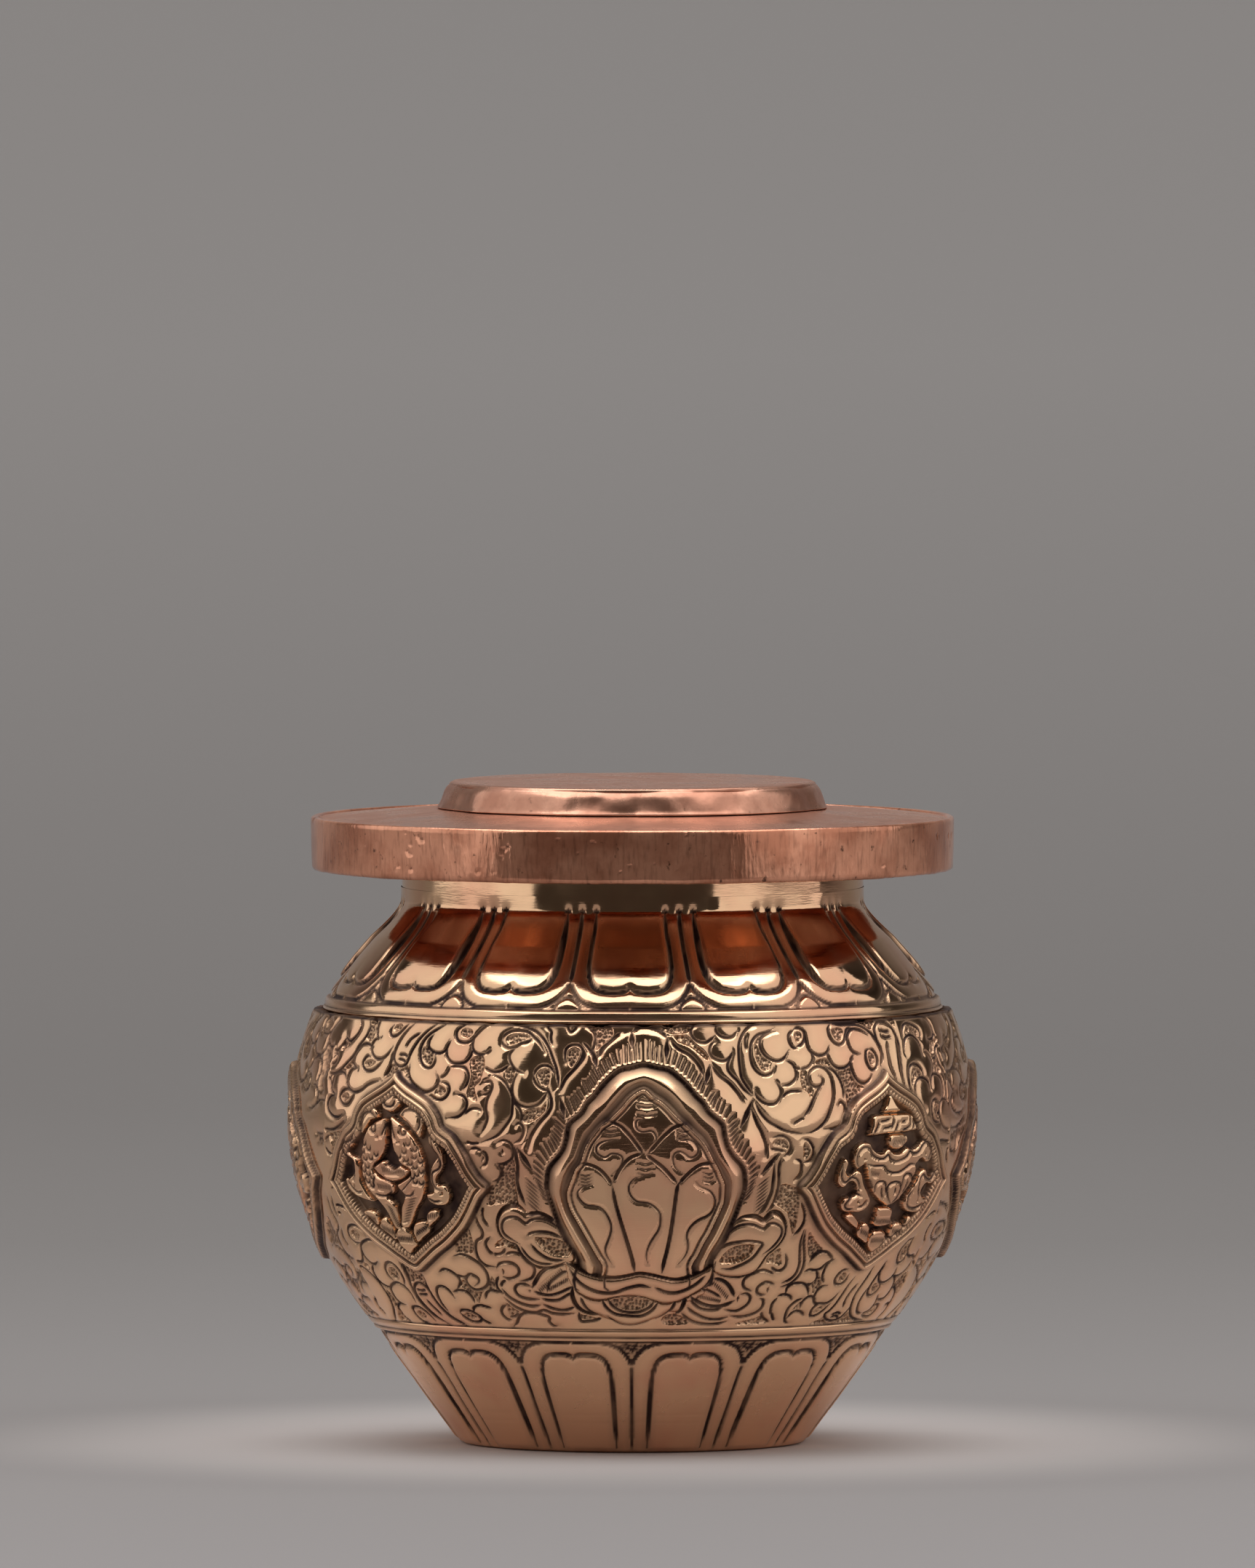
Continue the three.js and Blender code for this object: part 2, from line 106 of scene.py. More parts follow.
def smooth(points, closed=False, steps=4):
    points = np.asarray(points, float)
    if len(points) < 3:
        return points
    ring = np.vstack([points[-1], points, points[:2]]) if closed else np.vstack(
        [2 * points[0] - points[1], points, 2 * points[-1] - points[-2]])
    t = np.linspace(0, 1, steps, endpoint=False)[:, None]
    out = []
    for p0, p1, p2, p3 in zip(ring[:-3], ring[1:-2], ring[2:-1], ring[3:]):
        out.append(0.5 * (2 * p1 + (p2 - p0) * t + (2 * p0 - 5 * p1 + 4 * p2 - p3) * t ** 2
                          + (3 * p1 - p0 - 3 * p2 + p3) * t ** 3))
    if not closed:
        out.append(points[-1:])
    return np.vstack(out)


# How round a raised edge rises: 0 at its foot, 1 where it has become level.
def domed(share):
    return np.sqrt(1 - (1 - share) ** 2)


def smoothstep(t):
    return t * t * (3 - 2 * t)


farAway = 9.0  # stands for no line near, or no form here
graver = {'thinEnd': 0.12, 'endPower': 0.6, 'groovePower': 1.3, 'inkPast': 0.06, 'inkSoft': 0.13,
          'margin': 3}
matPunch = {'pitch': 0.56, 'depth': 0.14, 'scatter': 0.7, 'radius': 0.5, 'rows': 1.05, 'paleShare': 0.3,
            'edge': 0.3, 'edgeReach': 0.6, 'fullDepth': 0.15}


# A patch of the wall as a grid of heights, worked the way a chaser works a sheet: forms are raised,
# grounds are sunk and punched, and then the lines are cut. Lift, cut and sunk are in millimetres, stain
# and ink are shares of patina, and near is the distance to the nearest line.
class Sheet:
    def __init__(self, left, right, low, high, pitch, radius):
        width = math.radians(right - left) * radius
        self.angles = np.linspace(left, right, round(width / pitch) + 1)
        self.heights = evenHeights(low, high, pitch)
        shape = (len(self.heights), len(self.angles))
        self.lift, self.cut, self.sunk, self.stain, self.ink = np.zeros((5, *shape))
        self.near = np.full(shape, farAway)

    def metric(self, height):
        return math.radians(1) * float(wallRadius(height)), float(wallStretch(height))

    # The part of the grid within reach of a short line, the distance to it and the share along it.
    def distance(self, start, end, reach):
        across, up = self.metric((start[1] + end[1]) / 2)
        (west, east), (low, high) = sorted((start[0], end[0])), sorted((start[1], end[1]))
        i = slice(*np.searchsorted(self.angles, [west - reach / across, east + reach / across]))
        j = slice(*np.searchsorted(self.heights, [low - reach / up, high + reach / up]))
        x = (self.angles[i] - start[0])[None, :] * across
        y = (self.heights[j] - start[1])[:, None] * up
        dx, dy = (end[0] - start[0]) * across, (end[1] - start[1]) * up
        share = np.clip((x * dx + y * dy) / max(dx * dx + dy * dy, 1e-9), 0, 1)
        return (j, i), np.hypot(x - share * dx, y - share * dy), share

    # Cuts a line of the given half width, thinner over the share taper at both ends, and notes how near
    # it is, up to the distance near.
    def line(self, points, width, depth, taper=0.14, closed=False, near=2.6, curve=True):
        run = smooth(points, closed) if curve else np.asarray(points, float)
        if closed:
            run = np.vstack([run, run[:1]])
        margin = graver['margin']
        if run[:, 0].max() < self.angles[0] - margin or run[:, 0].min() > self.angles[-1] + margin:
            return
        count = len(run) - 1
        for index in range(count):
            window, gap, share = self.distance(run[index], run[index + 1], near)
            if not gap.size:
                continue
            self.near[window] = np.minimum(self.near[window], gap)
            along = (index + share) / count
            fromEnd = np.minimum(along, 1 - along) / max(taper, 1e-3)
            ends = 1.0 if closed else np.clip(fromEnd, graver['thinEnd'], 1) ** graver['endPower']
            half = width * ends
            groove = depth * ends * np.clip(1 - (gap / half) ** 2, 0, 1) ** graver['groovePower']
            self.cut[window] = np.maximum(self.cut[window], groove)
            ink = np.clip((half + graver['inkPast'] - gap) / graver['inkSoft'], 0, 1)
            self.ink[window] = np.maximum(self.ink[window], ink)

    # Even-odd test, row by row.
    def inside(self, loop):
        hit = np.zeros(self.lift.shape, bool)
        ends = np.roll(loop, -1, axis=0)
        for (a0, z0), (a1, z1) in zip(loop, ends):
            if z0 == z1:
                continue
            rows = (self.heights >= min(z0, z1)) & (self.heights < max(z0, z1))
            cross = a0 + (self.heights[rows] - z0) * (a1 - a0) / (z1 - z0)
            hit[rows] ^= self.angles[None, :] < cross[:, None]
        return hit

    # Distance to a closed loop up to reach, positive inside.
    def signed(self, loop, reach, curve=True):
        loop = smooth(loop, True) if curve else np.asarray(loop, float)
        gap = np.full(self.lift.shape, float(reach))
        for start, end in zip(loop, np.roll(loop, -1, axis=0)):
            window, near, _ = self.distance(start, end, reach)
            gap[window] = np.minimum(gap[window], near)
        return np.where(self.inside(loop), gap, -gap)

    # As signed, on a smooth loop, and with the length run along the loop for every place near it.
    def edge(self, loop, reach):
        loop = smooth(loop, True)
        gap, run = np.full(self.lift.shape, float(reach)), np.zeros(self.lift.shape)
        length = 0
        for start, end in zip(loop, np.roll(loop, -1, axis=0)):
            window, near, share = self.distance(start, end, reach)
            across, up = self.metric(start[1])
            step = math.hypot((end[0] - start[0]) * across, (end[1] - start[1]) * up)
            closer = near < gap[window]
            run[window] = np.where(closer, length + share * step, run[window])
            gap[window] = np.minimum(gap[window], near)
            length += step
        return np.where(self.inside(loop), gap, -gap), run

    # Raises a form inside a loop, rounded over the width soft at its edge.
    def pad(self, loop, height, soft, base):
        share = np.clip(self.signed(loop, soft + 0.5) / soft, 0, 1)
        form = np.where(share > 0, base + (height - base) * domed(share), -farAway)
        self.lift = np.maximum(self.lift, form)

    # Marks a ground that is to be sunk and punched.
    def ground(self, loop, depth, curve=True):
        edge = np.clip(self.signed(loop, matPunch['edgeReach'], curve) / matPunch['edge'], 0, 1)
        self.sunk = np.maximum(self.sunk, edge * depth)

    # Sinks the marked grounds and covers them with round punch marks.
    def matting(self):
        across = math.radians(1) * wallRadius(self.heights)[:, None]
        x = self.angles[None, :] * across / matPunch['pitch']
        y = (self.heights * matPunch['rows'])[:, None] / matPunch['pitch'] + 0 * x
        pit = np.full(self.lift.shape, farAway)
        for di in (-1, 0, 1):
            for dj in (-1, 0, 1):
                cx, cy = np.floor(x) + di, np.floor(y) + dj
                right, up = (matPunch['scatter'] * (hashed(cx, cy, seed) - 0.5) for seed in (1.7, 5.3))
                pit = np.minimum(pit, np.hypot(x - cx - 0.5 - right, y - cy - 0.5 - up))
        dent = np.clip(1 - (pit / matPunch['radius']) ** 2, 0, 1)
        mask = np.clip(self.sunk / matPunch['fullDepth'], 0, 1)
        self.lift -= self.sunk + mask * matPunch['depth'] * dent
        pale = matPunch['paleShare']
        self.stain = np.maximum(self.stain, mask * (pale + (1 - pale) * dent))


def hashed(i, j, seed):
    value = np.sin(i * 127.1 + j * 311.7 + seed * 74.7) * 43758.5453
    return value - np.floor(value)


def softNoise(x, y, seed):
    i, j = np.floor(x), np.floor(y)
    u, v = x - i, y - j
    u, v = smoothstep(u), smoothstep(v)
    low = hashed(i, j, seed) * (1 - u) + hashed(i + 1, j, seed) * u
    high = hashed(i, j + 1, seed) * (1 - u) + hashed(i + 1, j + 1, seed) * u
    return low * (1 - v) + high * v


# Makes one mesh object from a grid of points (rows, columns, 3), with one value per point for patina
# and painted shade.
def gridObject(name, points, patinaAndShade=None, closed=False, normals=None):
    rows, columns = points.shape[:2]
    index = np.arange(rows * columns).reshape(rows, columns)
    left, right = (index, np.roll(index, -1, axis=1)) if closed else (index[:, :-1], index[:, 1:])
    quads = np.stack([left[:-1], right[:-1], right[1:], left[1:]], axis=-1).reshape(-1, 4)
    mesh = bpy.data.meshes.new(name)
    mesh.vertices.add(rows * columns)
    mesh.vertices.foreach_set('co', (points.reshape(-1, 3) * mm).ravel())
    mesh.loops.add(quads.size)
    mesh.loops.foreach_set('vertex_index', quads.ravel())
    mesh.polygons.add(len(quads))
    mesh.polygons.foreach_set('loop_start', np.arange(0, quads.size, 4))
    mesh.update(calc_edges=True)
    mesh.validate()
    layer = mesh.attributes.new('patinaAndShade', 'FLOAT', 'POINT')
    layer.data.foreach_set('value', (np.zeros(rows * columns) if patinaAndShade is None else patinaAndShade.ravel()))
    mesh.polygons.foreach_set('use_smooth', np.ones(len(mesh.polygons), bool))
    if normals is not None:
        mesh.normals_split_custom_set_from_vertices(normals.reshape(-1, 3))
    made = bpy.data.objects.new(name, mesh)
    bpy.context.collection.objects.link(made)
    return made


def around(angles, radius, heights):
    turn = np.radians(angles)
    return np.stack([radius * np.sin(turn), -radius * np.cos(turn), heights + 0 * radius], axis=-1)


# A round piece from a closed outline of (radius, height) points; wobble adds a small hand-made unevenness.
def turnedObject(name, outline, columns, wobble=None, patinaAndShade=None):
    outline = np.asarray(outline, float)
    angles = (np.arange(columns) * 360 / columns)[None, :]
    radius = outline[:, 0][:, None] + np.zeros(columns)
    heights = outline[:, 1][:, None] + np.zeros(columns)
    if wobble is not None:
        out, up = wobble(angles, radius, heights)
        radius, heights = radius + out, heights + up
    stain = None if patinaAndShade is None else patinaAndShade(angles, radius, heights)
    return gridObject(name, around(angles, radius, heights), stain, True)


# Adds points along an outline, about one pitch apart.
def dense(outline, pitch):
    out = []
    for start, end in zip(outline[:-1], outline[1:]):
        steps = max(1, round(math.dist(start, end) / pitch))
        out += [(start[0] + (end[0] - start[0]) * k / steps, start[1] + (end[1] - start[1]) * k / steps)
                for k in range(steps)]
    return out + [outline[-1]]


# Rounds every corner of an outline but its two ends.
def cornered(outline, radius, steps=5):
    out = [outline[0]]
    vectors = [Vector(point) for point in outline]
    for before, corner, after in zip(vectors[:-2], vectors[1:-1], vectors[2:]):
        back, ahead = before - corner, after - corner
        cut = min(radius, back.length * 0.45, ahead.length * 0.45)
        start, end = corner + back.normalized() * cut, corner + ahead.normalized() * cut
        for t in (k / steps for k in range(steps + 1)):
            out.append(tuple(start * (1 - t) ** 2 + corner * 2 * t * (1 - t) + end * t ** 2))
    return out + [outline[-1]]


# Joins the points of a piece's seams; gap is in metres.
def welded(made, gap=0.00001):
    shape = bmesh.new()
    shape.from_mesh(made.data)
    bmesh.ops.remove_doubles(shape, verts=shape.verts, dist=gap)
    bmesh.ops.recalc_face_normals(shape, faces=shape.faces)
    shape.to_mesh(made.data)
    shape.free()


def linear(colour):
    channels = [int(colour[i:i + 2], 16) / 255 for i in (0, 2, 4)]
    return [c / 12.92 if c <= 0.04045 else ((c + 0.055) / 1.055) ** 2.4 for c in channels] + [1.0]


# Adds a node with its settings; a value that is a socket is linked, any other is set.
def add(tree, kind, values=None, **settings):
    made = tree.nodes.new(kind)
    for name, value in settings.items():
        setattr(made, name, value)
    for key, value in (values or {}).items():
        if isinstance(value, bpy.types.NodeSocket):
            tree.links.new(value, made.inputs[key])
        else:
            made.inputs[key].default_value = value
    return made


def newMaterial(name):
    made = bpy.data.materials.new(name)
    made.use_nodes = True
    made.node_tree.nodes.clear()
    return made, made.node_tree


# Noise with spots of about the given size in millimetres, 0 to 1.
def noise(tree, place, size, detail, roughness=0.5):
    values = {'Vector': place, 'Scale': 1000 / size, 'Detail': detail, 'Roughness': roughness}
    return add(tree, 'ShaderNodeTexNoise', values).outputs['Fac']


def stretched(tree, place, scale):
    return add(tree, 'ShaderNodeMapping', {'Vector': place, 'Scale': scale}).outputs['Vector']


# Takes a value from the range start to end over to the range low to high.
def ranged(tree, value, start, end, low=0.0, high=1.0, **settings):
    values = {'Value': value, 'From Min': start, 'From Max': end, 'To Min': low, 'To Max': high}
    return add(tree, 'ShaderNodeMapRange', values, **settings).outputs['Result']


def mixed(tree, share, first, second):
    values = {'Factor': share, 6: first, 7: second}
    return add(tree, 'ShaderNodeMix', values, data_type='RGBA').outputs[2]


def maths(tree, kind, *values, clamp=False):
    made = add(tree, 'ShaderNodeMath', dict(enumerate(values)), operation=kind, use_clamp=clamp)
    return made.outputs['Value']


# The parts that both metals share: places on the object, and the patina and painted shade that the shapes
# carry.
def metalGround(name):
    made, tree = newMaterial(name)
    place = add(tree, 'ShaderNodeTexCoord').outputs['Object']
    stain = add(tree, 'ShaderNodeAttribute', attribute_name='patinaAndShade').outputs['Fac']
    return made, tree, place, stain


def shaded(tree, colour, roughness, metallic, relief, strength, depth):
    bump = add(tree, 'ShaderNodeBump', {'Strength': strength, 'Distance': depth, 'Height': relief})
    surface = add(tree, 'ShaderNodeBsdfPrincipled', {
        'Base Color': colour, 'Roughness': roughness, 'Metallic': metallic,
        'Normal': bump.outputs['Normal']})
    add(tree, 'ShaderNodeOutputMaterial', {'Surface': surface.outputs['BSDF']})


# Gilded copper, hammered over pitch, chased and buffed: warm pale gold that goes rosy where the gilding
# is thin and near the foot, with brown patina in every line and punch mark and painted shade beside the
# lines. The buffing leaves fine scratches.
def gildedCopper():
    look = {'gold': 'FBCDA3', 'rosy': 'F5B995', 'patinaAndShade': '38211A', 'rosySize': 14.0, 'smudge': 5.0,
            'shine': 0.06, 'dull': 0.16, 'satin': 0.4, 'patinaRough': 0.5, 'scratch': 0.07,
            'scratchSize': 2.25, 'scratchStretch': (1, 1, 9), 'scratchDepth': 0.1 * mm,
            'footFrom': 26 * mm, 'footTo': 4 * mm, 'footRosy': 0.55}
    made, tree, place, stain = metalGround('gilded copper, chased and buffed')
    rosy = ranged(tree, noise(tree, place, look['rosySize'], 3.0, 0.55), 0.42, 0.68)
    height = add(tree, 'ShaderNodeSeparateXYZ', {'Vector': place}).outputs['Z']
    low = ranged(tree, height, look['footFrom'], look['footTo'], 0.0, look['footRosy'])
    metal = mixed(tree, maths(tree, 'MAXIMUM', rosy, low), linear(look['gold']), linear(look['rosy']))
    smudge = noise(tree, place, look['smudge'], 4.0)
    dark = maths(tree, 'MULTIPLY', stain, ranged(tree, smudge, 0.3, 0.7, 0.78, 1.1), clamp=True)
    colour = mixed(tree, dark, metal, linear(look['patinaAndShade']))
    worn = ranged(tree, smudge, 0.35, 0.7, look['shine'], look['dull'])
    satin = maths(tree, 'MULTIPLY_ADD', low, look['satin'], worn)
    rough = add(tree, 'ShaderNodeMix', {'Factor': dark, 2: satin, 3: look['patinaRough']}, data_type='FLOAT')
    scratches = noise(tree, stretched(tree, place, look['scratchStretch']), look['scratchSize'], 2.0)
    shaded(tree, colour, rough.outputs[0], ranged(tree, dark, 0.0, 1.0, 1.0, 0.6), scratches,
           look['scratch'], look['scratchDepth'])
    return made


# Red copper sheet, hammered flat, filed upright on the rim and rubbed with fine grit: rosy pink with
# brown specks in small pits, and soft broken highlights.
def redCopper(name, file):
    look = {'pit': '5B3A2C', 'cloud': 11.0, 'pitSize': 1.1, 'grain': 3.0, 'grainDepth': 0.12 * mm}
    made, tree, place, stain = metalGround(name)
    cloud = noise(tree, place, look['cloud'], 5.0, 0.6)
    metal = mixed(tree, ranged(tree, cloud, 0.42, 0.6), linear(file['copper']), linear(file['dusk']))
    spots = ranged(tree, noise(tree, place, look['pitSize'], 3.0), 0.66, 0.76, 0.0, file['specks'])
    # stain brings the patina and the painted shade that the piece carries.
    dark = maths(tree, 'ADD', spots, stain, clamp=True)
    colour = mixed(tree, dark, metal, linear(look['pit']))
    grain = noise(tree, stretched(tree, place, file['stretch']), look['grain'], 3.0)
    filed = mixed(tree, ranged(tree, grain, 0.5, 0.72, 0.0, file['streak']), colour, linear(look['pit']))
    rough = ranged(tree, cloud, 0.3, 0.7, file['shine'], file['dull'])
    shaded(tree, filed, rough, file['bare'], grain, file['bump'], look['grainDepth'])
    return made


gold = gildedCopper()
rimCopper = redCopper('red copper, filed upright and pitted', {
    'copper': 'FBB28F', 'dusk': 'CF8768', 'specks': 0.85, 'streak': 0.36, 'stretch': (6, 6, 1),
    'shine': 0.07, 'dull': 0.17, 'bump': 0.25, 'bare': 0.68})
topCopper = redCopper('red copper, hammered and rubbed flat', {
    'copper': 'E2A98E', 'dusk': 'C28A72', 'specks': 0.45, 'streak': 0.16, 'stretch': (2, 2, 2),
    'shine': 0.2, 'dull': 0.38, 'bump': 0.35, 'bare': 0.88})
print('materials made')


# Stands copies of one sector round the axis, welds their edges and gives them the material.
def ringTree():
    tree = bpy.data.node_groups.new('ring of sectors', 'GeometryNodeTree')
    sockets = {}
    for name, kind in (('Sector', 'Geometry'), ('Count', 'Int'), ('Step', 'Float'), ('Start', 'Float'),
                       ('Weld', 'Float'), ('Metal', 'Material')):
        sockets[name] = tree.interface.new_socket(name=name, in_out='INPUT', socket_type='NodeSocket' + kind)
    tree.interface.new_socket(name='Ring', in_out='OUTPUT', socket_type='NodeSocketGeometry')
    given = add(tree, 'NodeGroupInput').outputs
    places = add(tree, 'GeometryNodeMeshLine', {'Count': given['Count'], 'Offset': (0, 0, 0)})
    number = add(tree, 'GeometryNodeInputIndex').outputs['Index']
    turn = maths(tree, 'MULTIPLY_ADD', number, given['Step'], given['Start'])
    facing = add(tree, 'ShaderNodeCombineXYZ', {'Z': turn})
    copies = add(tree, 'GeometryNodeInstanceOnPoints', {
        'Points': places.outputs['Mesh'], 'Instance': given['Sector'], 'Rotation': facing.outputs['Vector']})
    real = add(tree, 'GeometryNodeRealizeInstances', {'Geometry': copies.outputs['Instances']})
    weld = add(tree, 'GeometryNodeMergeByDistance', {
        'Geometry': real.outputs['Geometry'], 'Distance': given['Weld']})
    metal = add(tree, 'GeometryNodeSetMaterial', {
        'Geometry': weld.outputs['Geometry'], 'Material': given['Metal']})
    add(tree, 'NodeGroupOutput', {'Ring': metal.outputs['Geometry']})
    return tree, {name: socket.identifier for name, socket in sockets.items()}


sectorRing, ringSockets = ringTree()


def ringOf(sector, count, start, metal, step=None):
    modifier = sector.modifiers.new('ring', 'NODES')
    modifier.node_group = sectorRing
    turn = math.radians(360 / count if step is None else step)
    for name, value in (('Count', count), ('Step', turn), ('Start', math.radians(start)),
                        ('Weld', 0.02 * mm), ('Metal', metal)):
        modifier[ringSockets[name]] = value
    bpy.context.view_layer.update()
    graph = bpy.context.evaluated_depsgraph_get()
    solid = bpy.data.meshes.new_from_object(sector.evaluated_get(graph))
    sector.modifiers.clear()
    sector.data = solid
    solid.polygons.foreach_set('use_smooth', np.ones(len(solid.polygons), bool))


def finish(made, body, node, metal=None):
    if metal is not None:
        made.data.materials.clear()
        made.data.materials.append(metal)
    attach(made, body)
    if node:
        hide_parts(node)
    print(made.name, len(made.data.polygons), 'faces')


buffing = [(0.07, 3.4, 12), (0.11, 8, 17)]  # height and size of the hand-made unevenness, with its seed
skin = {'swellFrom': 0.2, 'swellReach': 0.4, 'radius': 50, 'noiseStart': 90, 'seam': 4}


# Turns a worked sheet into points: the wall, the raised forms and the cut lines along the wall's normal.
# The metal swells a little between the lines by the height pillow.
def sheetPoints(sheet, pillow):
    swell = pillow * (1 - np.exp(-np.maximum(sheet.near - skin['swellFrom'], 0) / skin['swellReach']))
    across, up = np.meshgrid(np.radians(sheet.angles) * skin['radius'], sheet.heights)
    buffed = sum(height * (softNoise(across / size + skin['noiseStart'], up / size, seed) - 0.5)
                 for height, size, seed in buffing)
    hem = np.clip(np.minimum(across - across[:, :1], across[:, -1:] - across) / skin['seam'], 0, 1)
    lift = sheet.lift + swell * (1 - sheet.stain) + buffed * hem - sheet.cut
    slope = wallSlope(sheet.heights)[:, None]
    radius = wallRadius(sheet.heights)[:, None] + lift / np.hypot(1, slope)
    heights = sheet.heights[:, None] - lift * slope / np.hypot(1, slope)
    return np.minimum(radius, vase['widest']), heights


# Rows of plain points round a sheet's sector, from (radius, height) pairs.
def plainRows(sheet, profile):
    count = len(sheet.angles)
    rows = [around(sheet.angles, np.full(count, r), np.full(count, z)) for r, z in profile]
    return np.array(rows).reshape(-1, count, 3)


# One sector of a ring: plain rows below the worked sheet and after it, all with the same even patina.
def sector(name, sheet, pillow, below, after, plainPatina):
    radius, heights = sheetPoints(sheet, pillow)
    lead, tail = plainRows(sheet, below), plainRows(sheet, after)
    points = np.concatenate([lead, around(sheet.angles[None, :], radius, heights), tail])
    plain = [np.full(rows.shape[:2], plainPatina) for rows in (lead, tail)]
    return gridObject(name, points, np.concatenate([plain[0], groovePatinaAndShade(sheet), plain[1]]))


# Patina fills the cut lines and punch marks; beside every line the metal is also painted darker, a painted
# shade that fades out at the reach.
linePatinaAndShade = {'fullDepth': 0.1, 'inLines': 0.95, 'besideLineShade': 0.16, 'besideLineShadeReach': 1.3}


def groovePatinaAndShade(sheet):
    lines = np.maximum(sheet.ink, np.clip(sheet.cut / linePatinaAndShade['fullDepth'], 0, 1) ** 1.5)
    besideLineShade = linePatinaAndShade['besideLineShade'] * np.clip(1 - sheet.near / linePatinaAndShade['besideLineShadeReach'], 0, 1)
    return np.clip(np.maximum(linePatinaAndShade['inLines'] * lines, sheet.stain) + besideLineShade, 0, 1)


# Moves points round the axis; way -1 also mirrors them.
def shifted(points, shift, way=1):
    return [(shift + way * a, z) for a, z in points]


# The cushion that a pad's outline makes with its mirror image halfway to the next petal.
def cushion(sheet, pad, shift, half, soft):
    loop = shifted(pad, shift) + shifted(pad[::-1], shift + 2 * half, -1)
    return domed(np.clip(sheet.signed(np.array(loop), 3, False) / soft, 0, 1))


# Turned grooves all round, as (height, width) pairs.
def ringLines(sheet, half, rings, depth):
    for height, width in rings:
        sheet.line([(-half - 2, height), (half + 2, height)], width, depth, 0.0)


# Foot: a plain cone with thirteen chased lotus petals, a turned band on top and a flat base. Outlines
# are in degrees from a petal's middle and millimetres up.
foot = {'petals': 13, 'start': -2.1, 'pitch': 0.27, 'radius': 33, 'hem': 0.35, 'padSide': 4.9,
        'padTop': 15.4, 'notch': 14.8, 'arch': 17.35, 'fork': 13.8, 'low': 0.7, 'groove': 0.34,
        'depth': 0.3, 'padLift': 0.3, 'padSoft': 1.0, 'pillow': 0.1, 'bandFrom': 17.55, 'bandLift': 0.3,
        'turnings': (4.9, 6.2, 9.6), 'turningDepth': 0.035, 'turningWidth': 0.12, 'inside': 1.25,
        'padTaper': 0.1, 'stemTaper': 0.16, 'hollowDepth': 0.16, 'tip': (0.2, 0.2), 'bandSoft': (0.25, 0.2),
        'bandRings': ((-0.1, 0.26), (0.75, 0.2)), 'ringDepth': 0.2}


def footSheet():
    f = foot
    half = 180 / f['petals']
    sheet = Sheet(-half, half, f['hem'], vase['footTop'], f['pitch'], f['radius'])
    side, top = f['padSide'], f['padTop']
    pad = [(side, f['low']), (side, 5), (side + 0.05, 9.5), (side + 0.25, 12.2), (side + 1.2, top - 1.1),
           (side + 3.2, top - 0.1), (half - 2.4, top + 0.1), (half - 0.8, top - 0.1), (half, f['notch'])]
    arch = [(0.05, f['fork']), (1.0, 15.1), (2.9, 16.4), (5.6, 17.1), (9, f['arch']), (half, f['arch'])]
    stem = [(0, f['low'] - 0.2), (0, 5), (0, 10), (0, f['fork'] + 0.2)]
    hollow = [(-4.6, 17.3), (-1.9, 16.1), (0, 14.6), (1.9, 16.1), (4.6, 17.3)]
    tip = [(-1.1, 17.5), (-0.8, 16.6), (0, 16.1), (0.8, 16.6), (1.1, 17.5)]
    for shift in (-2 * half, 0, 2 * half):
        for way in (-1, 1):
            sheet.line(shifted(pad, shift, way), f['groove'], f['depth'], f['padTaper'])
            sheet.line(shifted(arch, shift, way), f['groove'], f['depth'], 0.0)
        sheet.lift += f['padLift'] * cushion(sheet, pad, shift, half, f['padSoft'])
        sheet.line(shifted(stem, shift), f['groove'], f['depth'], f['stemTaper'])
        sheet.ground(shifted(hollow, shift), f['hollowDepth'], False)
        sheet.line(shifted(tip, shift), *f['tip'])
    lowSoft, highSoft = f['bandSoft']
    rise = np.clip((sheet.heights - f['bandFrom']) / lowSoft, 0, 1)
    band = rise * np.clip((vase['footTop'] - 0.1 - sheet.heights) / highSoft, 0, 1)
    below = (sheet.heights < f['bandFrom'] + 0.1)[:, None]
    sheet.lift = sheet.lift * below + f['bandLift'] * (band ** 0.5)[:, None]
    rings = [(f['bandFrom'] + above, width) for above, width in f['bandRings']]
    ringLines(sheet, half, rings, f['ringDepth'])
    for height in f['turnings']:
        turned = np.exp(-((sheet.heights - height) / f['turningWidth']) ** 2)
        sheet.lift -= f['turningDepth'] * turned[:, None]
    sheet.matting()
    return sheet


bottom = [(0.0, 0.0), (22.6, 0.0), (24.6, 0.02), (25.3, 0.12)]
insideFoot = [(float(wallRadius(z)) - foot['inside'], z) for z in np.linspace(vase['base'], 19.2, 14)]
insideFoot = insideFoot[::-1] + [(0.0, vase['base'])]
footBowl = sector('footBowl', footSheet(), foot['pillow'], bottom, insideFoot, 0.0)
ringOf(footBowl, foot['petals'], foot['start'], gold)
welded(footBowl)
finish(footBowl, 'vase', 'foot_bowl')

# Shoulder: a turned band, fifteen chased petals that hang from the neck, the plain neck and its lip.
shoulder = {'petals': 15, 'start': 9.65, 'pitch': 0.26, 'radius': 46, 'side': 3.5, 'padFoot': 70.1,
            'cusp': 70.7, 'top': 82.0, 'fork': 71.5, 'flare': 6.2, 'low': 67.85, 'groove': 0.36,
            'depth': 0.32, 'padLift': 0.26, 'padSoft': 0.9, 'pillow': 0.12, 'dome': 0.7, 'bandLift': 0.28,
            'bandFrom': 65.5, 'bandTo': 67.6, 'sheetTop': 84.0, 'lapFoot': 61.9, 'lapInside': 44.6,
            'lapOutside': 45.7, 'inside': 1.2, 'plainPatina': 0.4, 'taper': 0.16, 'outerShare': 0.8,
            'stem': 0.38, 'stop': (0.5, 0.3, 0.0), 'tip': (0.26, 0.25, 0.0), 'hollowDepth': 0.2,
            'fadeLength': 6, 'domeLength': 3.4, 'bandSoft': 0.3, 'ringDepth': 0.16}


